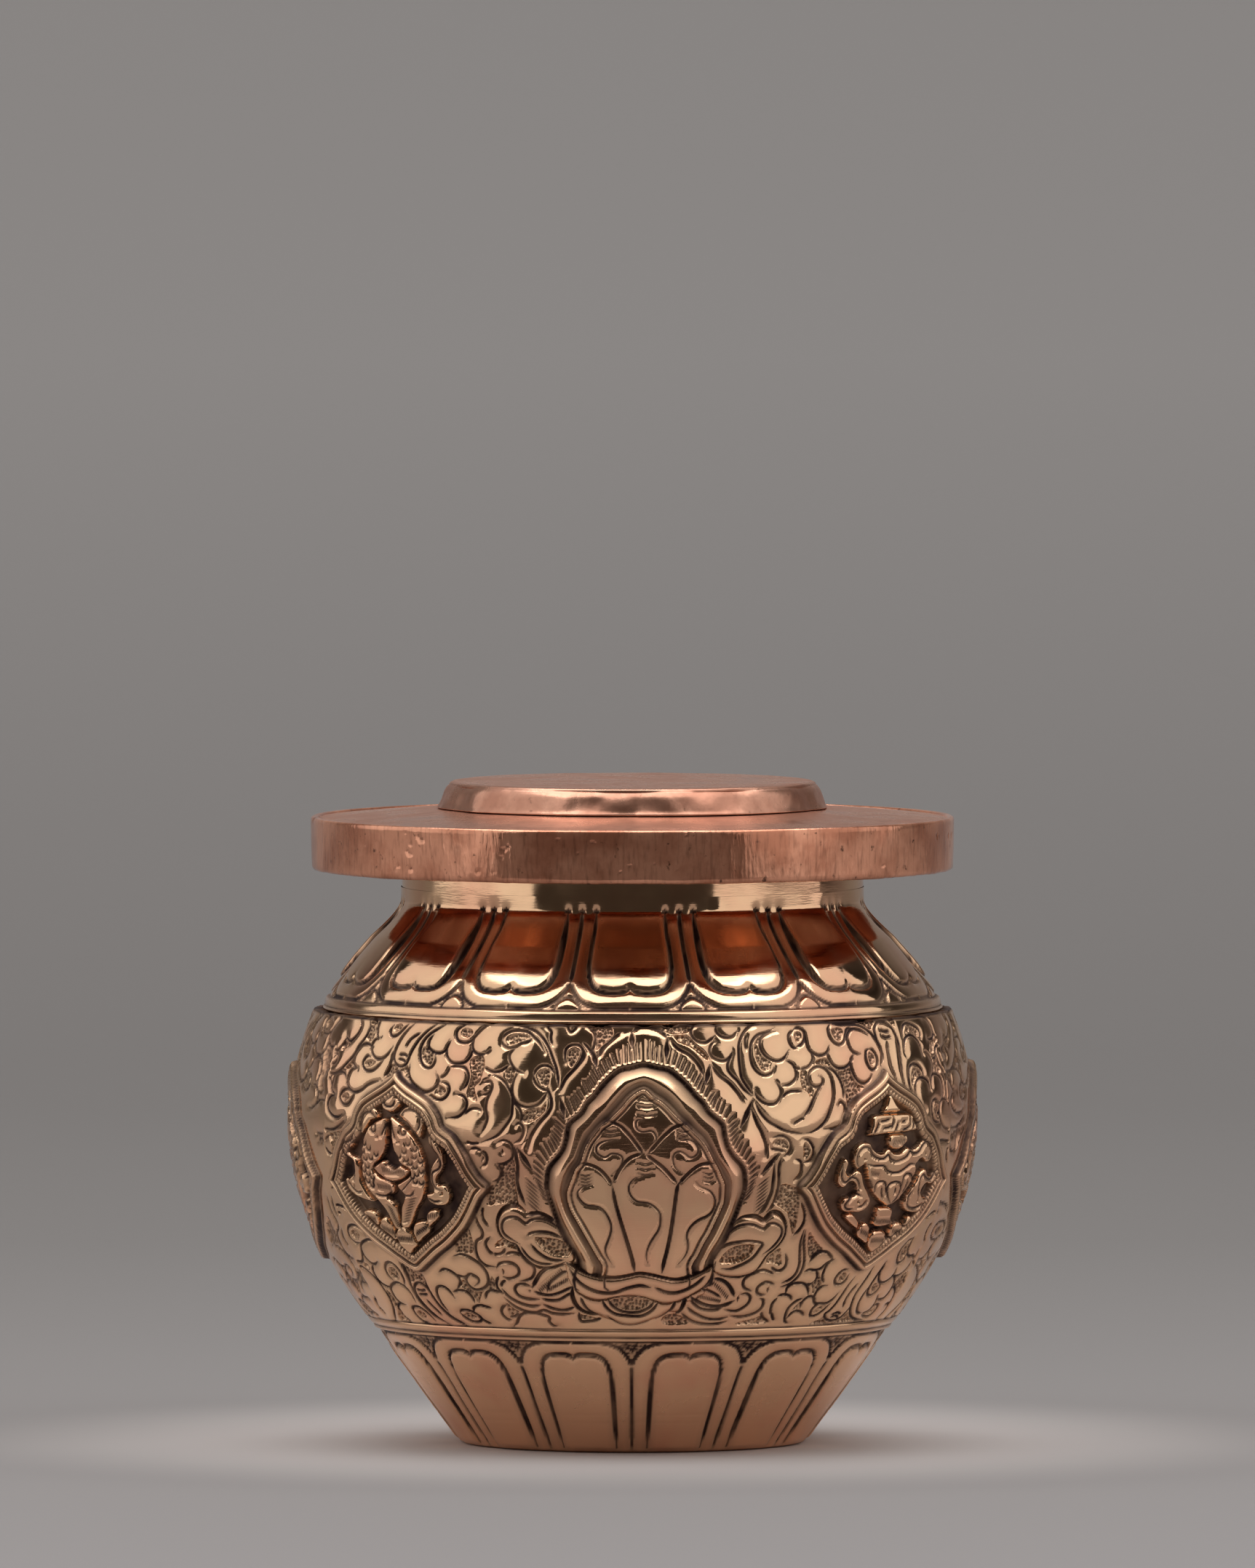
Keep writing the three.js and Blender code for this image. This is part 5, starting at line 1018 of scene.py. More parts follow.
rightTile = {
    'lines': strokes('''
        28,64.6 29,64.8 30,64.3 29.9,63.2 29,62.3 28,62.1 / 30.3,64.4 30.1,63 30.4,61.6 31.4,60.9 32.6,60.6
        34,61 34.8,62.1 / 28,58.7 29.5,58.9 30.5,59.6 31,60.5 30.7,61.5 / 41.5,64.4 39.8,64.4 38.9,63.5
        38.3,62.6 37.2,62.1 35.9,62.5 35.2,63.5 35.3,64.5 36,65.2 / 36,65.2 38,65 40.2,65 42.8,64.8
        44.8,63.9 46.2,62.5 46.9,60.7 46.7,59.6 46.1,58.9 / 44.5,63.5 42.8,64.1 41.2,64.3 39.9,63.9
        39.1,62.8 39.3,61.6 40.2,60.8 41.6,60.6 / 34.1,61.2 34.3,60 35.2,59 36.5,58.6 38,58.9 39.1,59.7
        39.7,60.5 / 39.9,60.6 39.1,59.9 38.8,58.8 39.2,57.5 40,56.6 41.3,56.2 42.6,56.7 43.5,57.5 /
        43.8,61.3 43,60.9 42.6,59.8 42.9,58.8 43.6,58.2 44.6,58.4 45.2,59.3 45.2,60.3 44.7,61.1 43.8,61.3 /
        31.5,57.7 32.3,57.2 32,56.3 30.9,56 29.9,56.4 29.5,57.4 30,58.3 31.2,58.9 32.6,58.9 33.8,58
        34.3,56.5 34.2,54.5 33.5,52.8 32.4,51 31,49.9 29.5,49.3 28,49.1 / 32.2,56.6 31.4,55.7 30.6,54.8
        30,54 29,52.5 28,51.6 / 33.2,59 34.9,58.3 36,57 36.5,55.5 36.4,54.3 / 35,53 35.7,53.6 36.4,53.2
        36.6,52 36.3,50.8 35.3,50 34,49.7 32,49.7 / 28,48.3 29,48.1 29.9,47 30,46 29.3,45 28.2,44.8 /
        46.2,59.2 46.9,60.4 46.8,61.5 46.3,62.6 46.4,63.9 47.2,64.8 48.5,65.1 50,64.9 51.3,64.1 51.9,62.9
        52,61.5 51.6,59.5 51.3,57.3 51.6,55.8 52.1,54.7 / 49.2,61.9 48.7,61 48.5,59.5 48.8,58 49.7,56.3 /
        47.9,64 49,63.7 50.3,63.7 / 48,63.1 49,62.8 50.4,62.9 / 53.8,62.6 54.4,63.8 55.5,64.5 57,64.6
        58.6,64.2 59.8,63.6 59.9,62.8 59.3,62.2 / 53.2,60.4 53.5,61.3 54.3,62.3 55.6,62.8 57,62.8 58.3,62
        58.8,61 58.9,59.8 / 62.5,65.3 64,65.1 65.1,64.2 65.3,63.2 64.5,62.2 63.2,62 62.2,62.2 / 65.2,62.7
        66.2,62.3 67.5,62.3 / 59.4,60.3 60.6,60 61.5,59.1 61.7,58 61,56.9 / 62,59.2 63.5,59.3 64,60.3
        65,60.9 66.4,60.7 67.3,60 / 65.3,59.6 65.7,58.7 66.8,58.7 67.4,59.4 / 64,59.6 64.4,58.1 65.6,57
        67,56.6 68,56.7 / 54.2,53.6 53.2,55 53,56.5 53.6,58 54.9,58.6 56.4,58.4 57.4,57.6 57.7,56.7 /
        56.9,51.6 55.7,51.9 54.8,53 54.5,54.5 55,55.8 56.5,56.5 58,56.3 59,55.6 59.2,54.6 / 59.8,55 60,56
        61,56.8 62.3,56.8 63.6,56.3 64.2,55 64,53.8 63.3,53 / 62,52.8 60.6,53.1 59.5,52.6 59.2,51.4
        59.6,50.2 60.6,49.7 62,49.6 / 65.7,52.6 64.3,53 62.9,52.8 61.9,51.8 62,50.3 63.2,49 64.9,48.5
        66.9,48.5 / 61.9,46.9 63.5,46.8 66,46.6 68,46.8 / 67.6,52.2 66.8,51.4 66.9,50.3 68,49.8 / 66,45.8
        65.3,45.2 65.3,44.2 66,43.5 67,43.3 / 67.8,56 66,55.8 65.4,54.8 65.4,53.4 / 28.3,39 29.3,37.5
        29.6,36 29,34.7 28,33.8 / 30.2,34.5 30.5,32.5 31.3,30.5 31.7,29 31.4,27.6 30,26.3 28,25.8 /
        29.9,34.5 29.8,32.5 30.2,30.8 30.7,29.2 30.5,27.8 29.5,26.9 28,26.4 / 32.8,29.5 33.5,30.4 34.9,31
        36.3,30.9 37.4,30.3 38.2,29.8 / 38.2,29.7 36.8,29.1 35.8,28.4 34.6,28.2 33.3,28.3 32.3,28 / 35,28.1
        35.7,27.4 35.6,26.5 34.6,26 33.9,26.2 / 29.6,24.6 29.6,25.7 30.6,26.2 31.9,26.3 33.3,26.1 34.5,25.4
        35.2,24.4 / 28,24.4 29.3,24.6 30.8,24.3 31.6,23.7 / 38.6,29.8 37.4,29.3 36.9,28 37.2,26.9 38,26.2 /
        39.3,25.7 37.9,25.6 37,24.8 37,23.8 37.9,23 39.3,22.9 41,22.9 42.3,23.5 43.2,24.5 / 43.3,28.1 42,28
        41,27.5 40.6,26.6 41.2,25.9 42.6,25.8 43.6,26.5 43.8,27.3 / 34.5,22.3 34.4,23.3 35.2,24 36.2,24.1
        37.2,23.7 37.7,23 / 34.2,23.9 32.6,23.4 31.6,22.5 31.5,21.4 32,20.4 33,20 / 32.2,20.8 32.8,21.6
        33.6,21.9 34.8,21.8 35.7,21.5 36.4,21.1 / 39.8,23 38.3,22.6 37.8,21.8 38.3,21 39.7,21.1 41,21.8
        42.2,22.8 / 28,21.7 28.6,21 29.1,20.6 / 45.8,26.8 45,25.5 44.4,24 43.8,22.6 42.9,21.6 42.2,21.2
        43.1,20.4 44.5,20.1 46,20.1 47.5,20.4 48.6,21.3 49.2,22.2 / 50.3,28.2 49.8,26.8 49,25.2 48.6,23.8
        49.1,22.3 50.2,21.1 51.8,20.3 54,19.9 57,19.7 / 47.6,25.7 46.7,24.6 46.3,23.3 46.6,22.1 / 44.3,21
        45.7,21.3 47.1,21 / 44.4,20.6 45.7,20.8 46.9,20.5 / 53.9,28.9 53.4,28 52.6,26.5 52.1,25 52.5,24
        53.7,23.6 55,23.9 55.8,24.8 55.3,25.4 / 54,28.2 53.4,27.3 53.8,26.3 55,25.6 56.6,25.5 58.2,26
        59,26.8 58.9,27.7 / 58.9,26.5 60.3,26.3 62,26.6 63.3,27.4 64,28.6 / 58.6,26.4 60.2,26 61,25 61,24
        60.2,23 58.8,22.8 57.6,23 / 51.6,24.7 51.2,23.4 51.5,22.2 52.7,21.1 54.5,20.8 / 57,23.6 57.6,22.6
        57.4,21.7 56.5,21 55,20.8 / 55,20.6 56.5,20.3 58.4,20.3 59.6,21 59.7,21.8 58.7,22.1 57.7,21.8 /
        61,24.6 62.7,24.4 64.2,23.5 64.8,22 64.6,20.8 63.6,19.8 / 62.9,21.9 64.2,22 65,21.2 / 67,25.3
        65.9,25.2 64.9,25.6 65,26.6 / 64.4,28.6 66,28 68,28 / 60.5,32.3 60,31.2 60.5,29.8 61.9,29.3
        63.2,29.4 64.4,29 64.8,30.2 / 60.3,32.2 58.7,31.7 57.5,30.8 57.1,29.8 57.8,28.6 58.9,28.4 60,28.9
        60.2,29.9 / 62.5,35 64.5,35.8 66.5,36 68,35.9 / 68,34.6 66.2,34.4 65.1,33.6 64.8,32.7 65.3,31.8
        66.3,31.4 / 66,39 66.4,38 67.2,37.3 68,36.8'''),
    'eyes': strokes('''
        28,64.2 29.2,64.1 29.3,63.2 28,62.6 / 35.8,64.3 37.4,64.7 38.6,64.2 38.4,63.3 37.4,62.6 36.2,63 /
        43.7,60.9 43.1,59.9 43.6,58.7 44.5,58.9 44.7,60.2 / 54.6,63 55.6,64 57.2,64.2 59.2,63.4 58.8,62.3
        57.2,63.2 55.6,63.2 / 53.6,55.5 53.7,57 54.8,58.1 56.6,57.7 57.1,56.7 55.4,56.6 54.3,55.6 /
        59.8,51.8 60.8,52.5 61.6,51.5 61.6,50.4 60.4,50.4 / 41.4,27.2 42.4,27.7 43.3,27.2 42.8,26.3
        41.6,26.3 / 38.4,21.8 39.2,22.4 41.4,22.6 40.2,21.8 38.9,21.4 / 52.8,25 53.2,25.6 54.8,25.3
        55.2,24.7 54,24 / 56.9,20.8 57.9,21.4 59.1,21.7 59.2,21.1 57.9,20.6 / 57.6,30 58.6,31.2 59.7,31.2
        59.8,29.6 58.6,28.9 / 65.6,33.2 66.6,34 68,34 68,32.2 66.2,32 / 28,47.7 28.9,47.5 29.3,46.4
        28.5,45.3 28,45.4 / 32.4,22 33.2,23 34.1,23.4 34.2,22.3 33.3,22.2'''),
    'grounds': strokes('''
        31,59.7 33,60.3 33.9,60 34.6,58.9 36.5,58.3 38.5,58.6 38.8,57.5 39.8,56.2 41,55.7 39.5,54.6 38,53
        37.2,52 36.9,53.4 36.8,55.4 36.2,57.2 34.8,58.6 32,59.2 30.8,59.3 / 28,58.3 29.2,58.4 29.3,57
        30.2,55.8 29.6,54.4 29,55.3 28,55.9 / 41,65.3 43.5,64.9 45.1,64.1 45.9,64.4 46.6,65.4 / 50.6,65.4
        52.4,65.4 52.2,64 51.2,64.9 / 31,34.3 32,33.6 33.5,32.4 35.3,31.2 34.3,30.8 33,30.1 32.1,30.6
        31.4,32 / 36,27.6 36.7,27 37.2,26.4 37.8,25.9 36.8,25 36,24.5 35.6,25.3 35,26.1 35.9,26.8 / 39,19.9
        41,20.4 42.3,20.8 43.4,20 46,19.8 48,20.3 49.2,21.2 51,20.2 53,19.8 46,19.55 40,19.6 / 61.8,26
        63.6,26.8 64.6,26.8 64.6,25.4 66,24.8 65,23.6 63.4,24.4 61.4,24.8 / 62.6,61.6 64.4,61.9 66,61.8
        64.4,61 63.4,60 62.4,59.8 61.4,60.2 / 62.2,58.8 63.8,59 64.2,57.4 63.6,56.8 62.2,57.2'''),
}


# Belly: the jewel panel and a medallion at each side are worked finely. Round the back stand five more
# medallions on tiles of the same foliage, the two kinds in turn.
belly = {'edge': 66.0, 'tile': 45.6, 'pitch': 0.17, 'backPitch': 0.36, 'radius': 51, 'hem': 0.05,
         'fade': 0.8, 'pillow': 0.16, 'line': 0.25, 'lineDepth': 0.23, 'eyeDepth': 0.2, 'groundDepth': 0.3,
         'wall': 1.2, 'tileMiddle': 47, 'stretch': 1.2, 'bold': (0.34, 0.3), 'hole': (0.35, 2.6)}

# The medallions' frame: the right half of its outline round the middle, and its section, contour lines
# and patina by the distance inside that outline.
ogee = {
    'middle': 41.7,
    'half': '''
        0,16.1 1,15.2 3,14.1 5.4,13.1 7.5,12.1 8.8,11 9.8,9.7 10.5,8.3 12.6,7.1 13.9,5.7 15.2,4 16.2,2.4
        17.4,0.9 18.8,-0.5 17.3,-2 16.4,-3.2 14.9,-5.1 13,-7 9.7,-9.2 6.4,-10.8 3.2,-12.4 0,-13.6''',
    'section': ([-0.5, -0.1, 0.25, 0.6, 0.9, 1.08, 1.28, 1.5, 1.72, 1.8, 1.9, 2.4, 2.95],
                [0, 0.4, 0.8, 0.95, 0.78, 0.4, 0.62, 0.78, 0.66, 0.5, 0.6, 0.5, -0.5]),
    'contour': ([-1.2, -0.5, -0.35, 0.12, 0.32, 0.78, 0.92, 1.2, 1.34, 1.62, 1.72, 1.84, 1.94, 2.4, 2.55, 3],
                [0, 0.4, 1, 0.95, 0.05, 0.05, 0.95, 0.95, 0.05, 0.05, 0.75, 0.75, 0.1, 0.2, 1, 1]),
    'reach': 4.0, 'tick': 0.62, 'tickFrom': 1.75, 'tickTo': 2.6, 'tickDepth': 0.12, 'grooveDepth': 0.1,
    'fieldFrom': 2.25, 'fieldSoft': 0.5, 'emblem': 0.5, 'emblemSoft': 0.5, 'emblemFoot': -0.4, 'detail': 0.3,
    'grooves': [(1.0, 1.15, 0.16), (0.8, -0.25, 0.2)], 'fieldStain': 0.95, 'raisedBy': 0.4,
    'rim': (0.2, 0.35),
}


# A bell curve, 1 at the middle.
def bell(distance, middle, width):
    return np.exp(-((distance - middle) / width) ** 2)


def cutAll(sheet, texts, width, depth, taper=0.14, shift=0.0, near=2.6):
    for text in texts:
        sheet.line(path(text) + (shift, 0), width, depth, taper, False, near)


# Round marks, written as "angle,height size".
def marks(texts, shift=0.0):
    for text in texts:
        place, size = text.split()
        yield *(path(place)[0] + (shift, 0)), float(size)


def hole(sheet, angle, height, size, depth, near):
    sheet.line([(angle - 0.05, height), (angle + 0.05, height)], size, depth, 0.0, False, near)


# Rows of short parallel strokes: the first stroke's start, the last one's start, the stroke, how many.
def hatched(sheet, rows, width, depth, shift=0.0):
    for a0, z0, a1, z1, da, dz, count in rows:
        for k in range(count):
            a, z = a0 + shift + (a1 - a0) * k / (count - 1), z0 + (z1 - z0) * k / (count - 1)
            sheet.line([(a, z), (a + da, z + dz)], width, depth, 0.3, False, ogee['detail'])


# The emblems' fine lines: half width and depth, and for a scale the taper. A scale is a small arc.
fine = {'line': (0.19, 0.16), 'ring': (0.16, 0.15), 'scale': (0.17, 0.16, 0.2), 'hatch': (0.1, 0.11),
        'arc': [(-0.5, 0.35), (-0.35, -0.1), (0, -0.27), (0.35, -0.1), (0.5, 0.35)],
        'ringRise': 1.15, 'holeSize': 1.1, 'holeDepth': 0.4}


def emblemDetails(sheet, emblem, shift):
    near = ogee['detail']
    cutAll(sheet, emblem['lines'], *fine['line'], shift=shift, near=near)
    for a, z, size in marks(emblem['rings'], shift):
        across = sheet.metric(z)[0]
        ring = [(a + size / across * math.cos(turn), z + size * fine['ringRise'] * math.sin(turn))
                for turn in np.arange(0, 6.2, 0.7)]
        sheet.line(ring, *fine['ring'], 0, True, near)
    for a, z, size in marks(emblem['holes'], shift):
        hole(sheet, a, z, size * fine['holeSize'], fine['holeDepth'], near)
    for place in path(emblem['scales']) + (shift, 0) if emblem['scales'] else []:
        sheet.line(place + np.array(fine['arc']), *fine['scale'], False, near)
    hatched(sheet, emblem['hatches'], *fine['hatch'], shift)


def medallion(sheet, emblem, shift=0.0):
    half = path(ogee['half'])
    loop = np.vstack([half, half[-2:0:-1] * (-1, 1)]) + (emblem['centre'] + shift, ogee['middle'])
    gap, run = sheet.edge(loop, ogee['reach'])
    here = gap > ogee['section'][0][0]
    sheet.lift = np.where(here, np.interp(gap, *ogee['section']), sheet.lift)
    # Outside the frame the painted shade beside lines goes by the distance to the frame; from the frame
    # inwards only the emblem's lines, cut later, bring it.
    beside = np.minimum(sheet.near, np.maximum(-gap, 0))
    sheet.near = np.where(gap > ogee['section'][0][1], linePatinaAndShade['besideLineShadeReach'], beside)
    tick = np.clip(np.cos(run / ogee['tick'] * 2 * math.pi) * 2.2 - 0.8, 0, 1)
    tick = tick * (gap > ogee['tickFrom']) * (gap < ogee['tickTo'])
    groove = sum(share * bell(gap, place, width) for share, place, width in ogee['grooves'])
    cut = np.maximum(ogee['tickDepth'] * tick, ogee['grooveDepth'] * np.clip(groove, 0, 1))
    sheet.cut = np.maximum(sheet.cut, cut)
    field = np.clip((gap - ogee['fieldFrom']) / ogee['fieldSoft'], 0, 1)
    sheet.stain = np.maximum(sheet.stain, np.where(here, ogee['fieldStain'] * field, 0))
    sheet.ink = np.where(gap > -1.3, np.interp(gap, *ogee['contour']), sheet.ink)
    sheet.ink = np.maximum(sheet.ink, tick)
    before = sheet.lift.copy()
    for text in emblem['pads']:
        sheet.pad(path(text) + (shift, 0), ogee['emblem'], ogee['emblemSoft'], ogee['emblemFoot'])
    raised = sheet.lift > before + ogee['raisedBy']
    sheet.stain, sheet.ink = np.where(raised, 0.0, sheet.stain), np.where(raised, 0.0, sheet.ink)
    middle, width = ogee['rim']
    rim = np.abs(sheet.lift - before - middle) < width
    sheet.ink = np.where(rim & (gap > ogee['tickTo']), 1.0, sheet.ink)
    emblemDetails(sheet, emblem, shift)


def foliagePanel(sheet, tile, shift=0.0, stretch=1.0):
    for text in tile['lines']:
        sheet.line(path(text) * (stretch, 1) + (shift, 0), belly['line'], belly['lineDepth'])
    for texts, depth in ((tile['eyes'], belly['eyeDepth']), (tile['grounds'], belly['groundDepth'])):
        for text in texts:
            sheet.ground(path(text) * (stretch, 1) + (shift, 0), depth)


# The jewel's form. Lift and stain go by the share of the way from the border's edge to the stone, the
# halo is the raised ground of the flames, and mirror makes the border's right half a little wider.
jewelForm = {
    'lift': ([0, 0.1, 0.3, 0.44, 0.52, 0.6, 0.7, 0.82, 0.92, 1],
             [0.1, 0.32, 0.62, 0.92, 1.0, 0.9, 0.56, 0.42, 0.55, 0.92]),
    'stain': ([0, 0.1, 0.26, 0.4, 0.48, 0.58, 0.68, 0.8, 1], [1, 0.85, 0.5, 0.1, 0, 0, 0.6, 0.85, 0.9]),
    'halo': 0.5, 'haloReach': 5.2, 'haloFrom': 36, 'mirror': -1.06, 'foot': 26.2, 'reach': 8,
    'stone': 0.95, 'dip': 0.4, 'dipReach': 0.55, 'swell': 0.32, 'swellFrom': 0.5, 'swellReach': 2.6,
    'contours': [(0.55, 0.2), (0.05, 0.33)], 'grooves': [(0.14, 0.55, 0.16), (0.16, -0.15, 0.22)],
    'crease': (0.31, 0.3, 0.1), 'vein': (0.19, 0.17, 0.2, 0, 0.4), 'dash': (0.13, 0.12, 0.3, False, 0.3),
    'dashRise': (0.1, -0.2),
}


# A closed loop of the jewel, whose foot runs on under the seat.
def rooted(left, right):
    loop = np.vstack([left, right[:0:-1]])
    return loop - (0, 3) * (loop[:, 1:] < loop[:, 1].min() + 0.8)


def jewelPanel(sheet):
    foliagePanel(sheet, foliage)
    cutAll(sheet, foliage['bold'], *belly['bold'])
    for a, z, size in marks(foliage['holes']):
        hole(sheet, a, z, size, *belly['hole'])
    half = path(jewel['bevel'])
    outer = sheet.signed(rooted(half, half * (jewelForm['mirror'], 1)), jewelForm['reach'])
    inner = sheet.signed(rooted(path(jewel['innerLeft']), path(jewel['innerRight'])), jewelForm['reach'])
    rise = np.clip(outer / np.maximum(outer - inner, 1e-3), 0, 1)
    border = np.maximum(np.interp(rise, *jewelForm['lift']), 0.0)
    swell = 1 - np.exp(-np.maximum(inner - jewelForm['swellFrom'], 0) / jewelForm['swellReach'])
    dip = np.clip(inner / jewelForm['dipReach'], 0, 1)
    stone = jewelForm['stone'] - jewelForm['dip'] * dip + jewelForm['swell'] * swell
    above = sheet.heights[:, None] > jewelForm['foot']
    body = (outer > 0) & above
    fall = np.sqrt(np.clip(1 + np.minimum(outer, 0) / jewelForm['haloReach'], 0, 1))
    halo = jewelForm['halo'] * fall * (sheet.heights[:, None] > jewelForm['haloFrom'])
    form = np.where(inner > 0, stone, border)
    sheet.lift = np.where(body, form, sheet.lift + np.where(outer <= 0, halo, 0))
    # On the jewel's border there is no painted shade beside lines; on the stone it goes by its lines and
    # edge.
    inStone = np.where(inner > 0.6, np.minimum(sheet.near, inner - 0.3), linePatinaAndShade['besideLineShadeReach'])
    sheet.near = np.where(body, inStone, sheet.near)
    innerLine, outerLine = jewelForm['contours']
    contour = np.maximum(bell(inner, *innerLine), bell(outer, *outerLine))
    sheet.ink = np.where(above, np.maximum(np.where(body, 0, sheet.ink), contour), sheet.ink)
    grooves = [depth * bell(gap, place, width)
               for gap, (depth, place, width) in zip((inner, outer), jewelForm['grooves'])]
    grooves = np.maximum(*grooves)
    sheet.cut = np.where(above, np.maximum(sheet.cut, grooves), sheet.cut)
    borderStain = np.where(inner > 0, 0, np.interp(rise, *jewelForm['stain']))
    sheet.stain = np.where(body, borderStain, sheet.stain)
    cutAll(sheet, jewel['creases'], *jewelForm['crease'])
    cutAll(sheet, jewel['veins'], *jewelForm['vein'])
    endRise, middleRise = jewelForm['dashRise']
    for left, right, heights in jewel['dashes']:
        for height in heights:
            middle = ((left + right) / 2, height + middleRise)
            dash = [(left, height + endRise), middle, (right, height + endRise)]
            sheet.line(dash, *jewelForm['dash'])


# Comb strokes fan out of the jewel's border, and longer tongues and notches part the flames.
comb = {'above': 38, 'first': 0.4, 'spacing': 0.72, 'width': 0.15, 'depth': 0.09, 'lean': 0.75, 'up': 0.55,
        'gap': 0.6, 'length': 2.2, 'spread': 0.8, 'step': 0.3, 'taper': 0.4, 'near': 0.1,
        'tongue': (0.3, 0.28), 'notch': (0.45, 0.42, 0.5)}


def combStrokes(sheet, side):
    half = path(jewel['bevel'])
    mirror = 1 if side < 0 else jewelForm['mirror']
    edge = smooth(half[half[:, 1] > comb['above']], steps=8) * (mirror, 1)
    across = np.array([sheet.metric(z)[0] for z in edge[:, 1]])
    steps = np.hypot(np.diff(edge[:, 0]) * across[1:], np.diff(edge[:, 1]))
    run = np.concatenate([[0], np.cumsum(steps)])
    for place in np.arange(comb['first'], run[-1], comb['spacing']):
        a, z = np.interp(place, run, edge[:, 0]), np.interp(place, run, edge[:, 1])
        a1, z1 = (np.interp(place + comb['step'], run, edge[:, axis]) for axis in (0, 1))
        wide = float(sheet.metric(z)[0])
        out = np.array([side * abs(z1 - z), abs(a1 - a) * wide])
        out = out / max(np.hypot(*out), 1e-6) * comb['lean'] + (0, comb['up'])
        reach = comb['length'] + comb['spread'] * hashed(place, side, 2.0)
        stroke = [(a + out[0] * far / wide, z + out[1] * far) for far in (comb['gap'], reach)]
        sheet.line(stroke, comb['width'], comb['depth'], comb['taper'], False, comb['near'])


def flames(sheet):
    for side in (-1, 1):
        combStrokes(sheet, side)
    cutAll(sheet, flame['tongues'], *comb['tongue'])
    for text in flame['notches']:
        sheet.line(path(text), *comb['notch'], curve=False)


# The lotus seat under the jewel with its bowl, and the shading strokes there and beside the jewel.
seat = {
    'low': '''
        12.4,25.6 10.4,24.2 8.3,23.9 7.8,22.6 5.5,22.4 4,21.6 2.3,21.2 0,20.6 -2,20.3 -4,20.4 -5.5,20.9
        -8.4,21.8 -10.8,22.4 -12.6,23.4 -13.4,25''',
    'lift': 1.1, 'soft': 0.8, 'foot': 0.5, 'lowLift': 0.6, 'lowSoft': 1.2, 'line': 0.26, 'lineDepth': 0.24,
    'hatches': [(-20.3, 25.8, -15.4, 29, 0.5, -0.75, 15), (-18, 26.1, -14.3, 27.6, 0, -0.7, 12),
                (13.9, 27, 17.2, 24.8, -0.3, -0.7, 10), (10.8, 24.4, 15.6, 23.5, 0.1, 0.6, 14),
                (-20, 42.8, -20, 39.2, 2.2, -1.7, 7), (19.5, 37.6, 19.5, 41.4, 2.1, 1.4, 8)],
    'hatch': (0.12, 0.12), 'end': (0.42, 0.34, 0.2), 'around': 0.7, 'leaf': (0.75, 1.3, 0.15),
    'leafBold': (0.36, 0.32), 'leafLine': (0.24, 0.2), 'leafEye': 0.55,
}


def seatAndClouds(sheet):
    for text in clouds['shapes']:
        sheet.pad(path(text), *seat['leaf'])
    cutAll(sheet, clouds['bold'], *seat['leafBold'])
    cutAll(sheet, clouds['lines'], *seat['leafLine'])
    for text in clouds['eyes']:
        sheet.ground(path(text), seat['leafEye'])
    upper, third = path(jewel['seat'][0]), path(jewel['seat'][3])
    outline = np.vstack([upper, third[::-1]])
    inside = sheet.signed(outline, 1)
    sheet.stain = np.where(inside > 0, 0, sheet.stain)
    sheet.sunk = np.where(inside > -0.2, 0, sheet.sunk)
    sheet.ink = np.where(inside > 0, 0, sheet.ink)
    sheet.lift = np.where(inside > 0, np.minimum(sheet.lift, seat['around']), sheet.lift)
    sheet.pad(outline, seat['lift'], seat['soft'], seat['foot'])
    low = np.vstack([third[1:-1], path(seat['low'])])
    lowShare = np.clip(sheet.signed(low, 2) / seat['lowSoft'], 0, 1)
    sheet.lift = np.maximum(sheet.lift, seat['lowLift'] * domed(lowShare))
    cutAll(sheet, jewel['seat'] + jewel['bowl'], seat['line'], seat['lineDepth'], 0.1)
    cutAll(sheet, jewel['ends'], *seat['end'])
    hatched(sheet, seat['hatches'], *seat['hatch'])


# Points, patina with its painted shade, and normals of a belly sector: the worked outside, closed by a
# plain inside.
def bellyStrip(sheet):
    top, foot = vase['bellyTop'], vase['footTop']
    radius, heights = sheetPoints(sheet, belly['pillow'])
    inside = [(float(wallRadius(z)) - belly['wall'], z) for z in np.linspace(top - 0.3, foot + 0.4, 16)]
    rows = plainRows(sheet, inside)
    worked = around(sheet.angles[None, :], radius, heights)
    points = np.concatenate([worked, rows, worked[:1]])
    hem = np.interp(sheet.heights, [foot + 0.1, foot + 0.35, top - 0.4, top - 0.15], [1, 0, 0, 1])
    patinaAndShade = np.maximum(groovePatinaAndShade(sheet), hem[:, None])
    stain = np.concatenate([patinaAndShade, np.ones(rows.shape[:2]), patinaAndShade[:1]])
    down, across = np.gradient(points, axis=0), np.gradient(points, axis=1)
    normals = np.cross(across, down)
    normals /= np.maximum(np.linalg.norm(normals, axis=-1, keepdims=True), 1e-9)
    return points, stain, normals


# Evens out a sheet's two upright edges, where the next one goes on.
def faded(sheet):
    fromEdge = np.minimum(sheet.angles - sheet.angles[0], sheet.angles[-1] - sheet.angles)
    share = smoothstep(np.clip(fromEdge / belly['fade'], 0, 1))[None, :]
    for part in ('lift', 'cut', 'stain', 'ink'):
        setattr(sheet, part, getattr(sheet, part) * share)
    # At the two edges the painted shade beside lines fades out too.
    far = linePatinaAndShade['besideLineShadeReach'] * (1 - share)
    sheet.near = np.where(share < 1, sheet.near * share + far, sheet.near)


def bellySheet(left, right, pitch):
    return Sheet(left, right, vase['footTop'] + belly['hem'], vase['bellyTop'], pitch, belly['radius'])


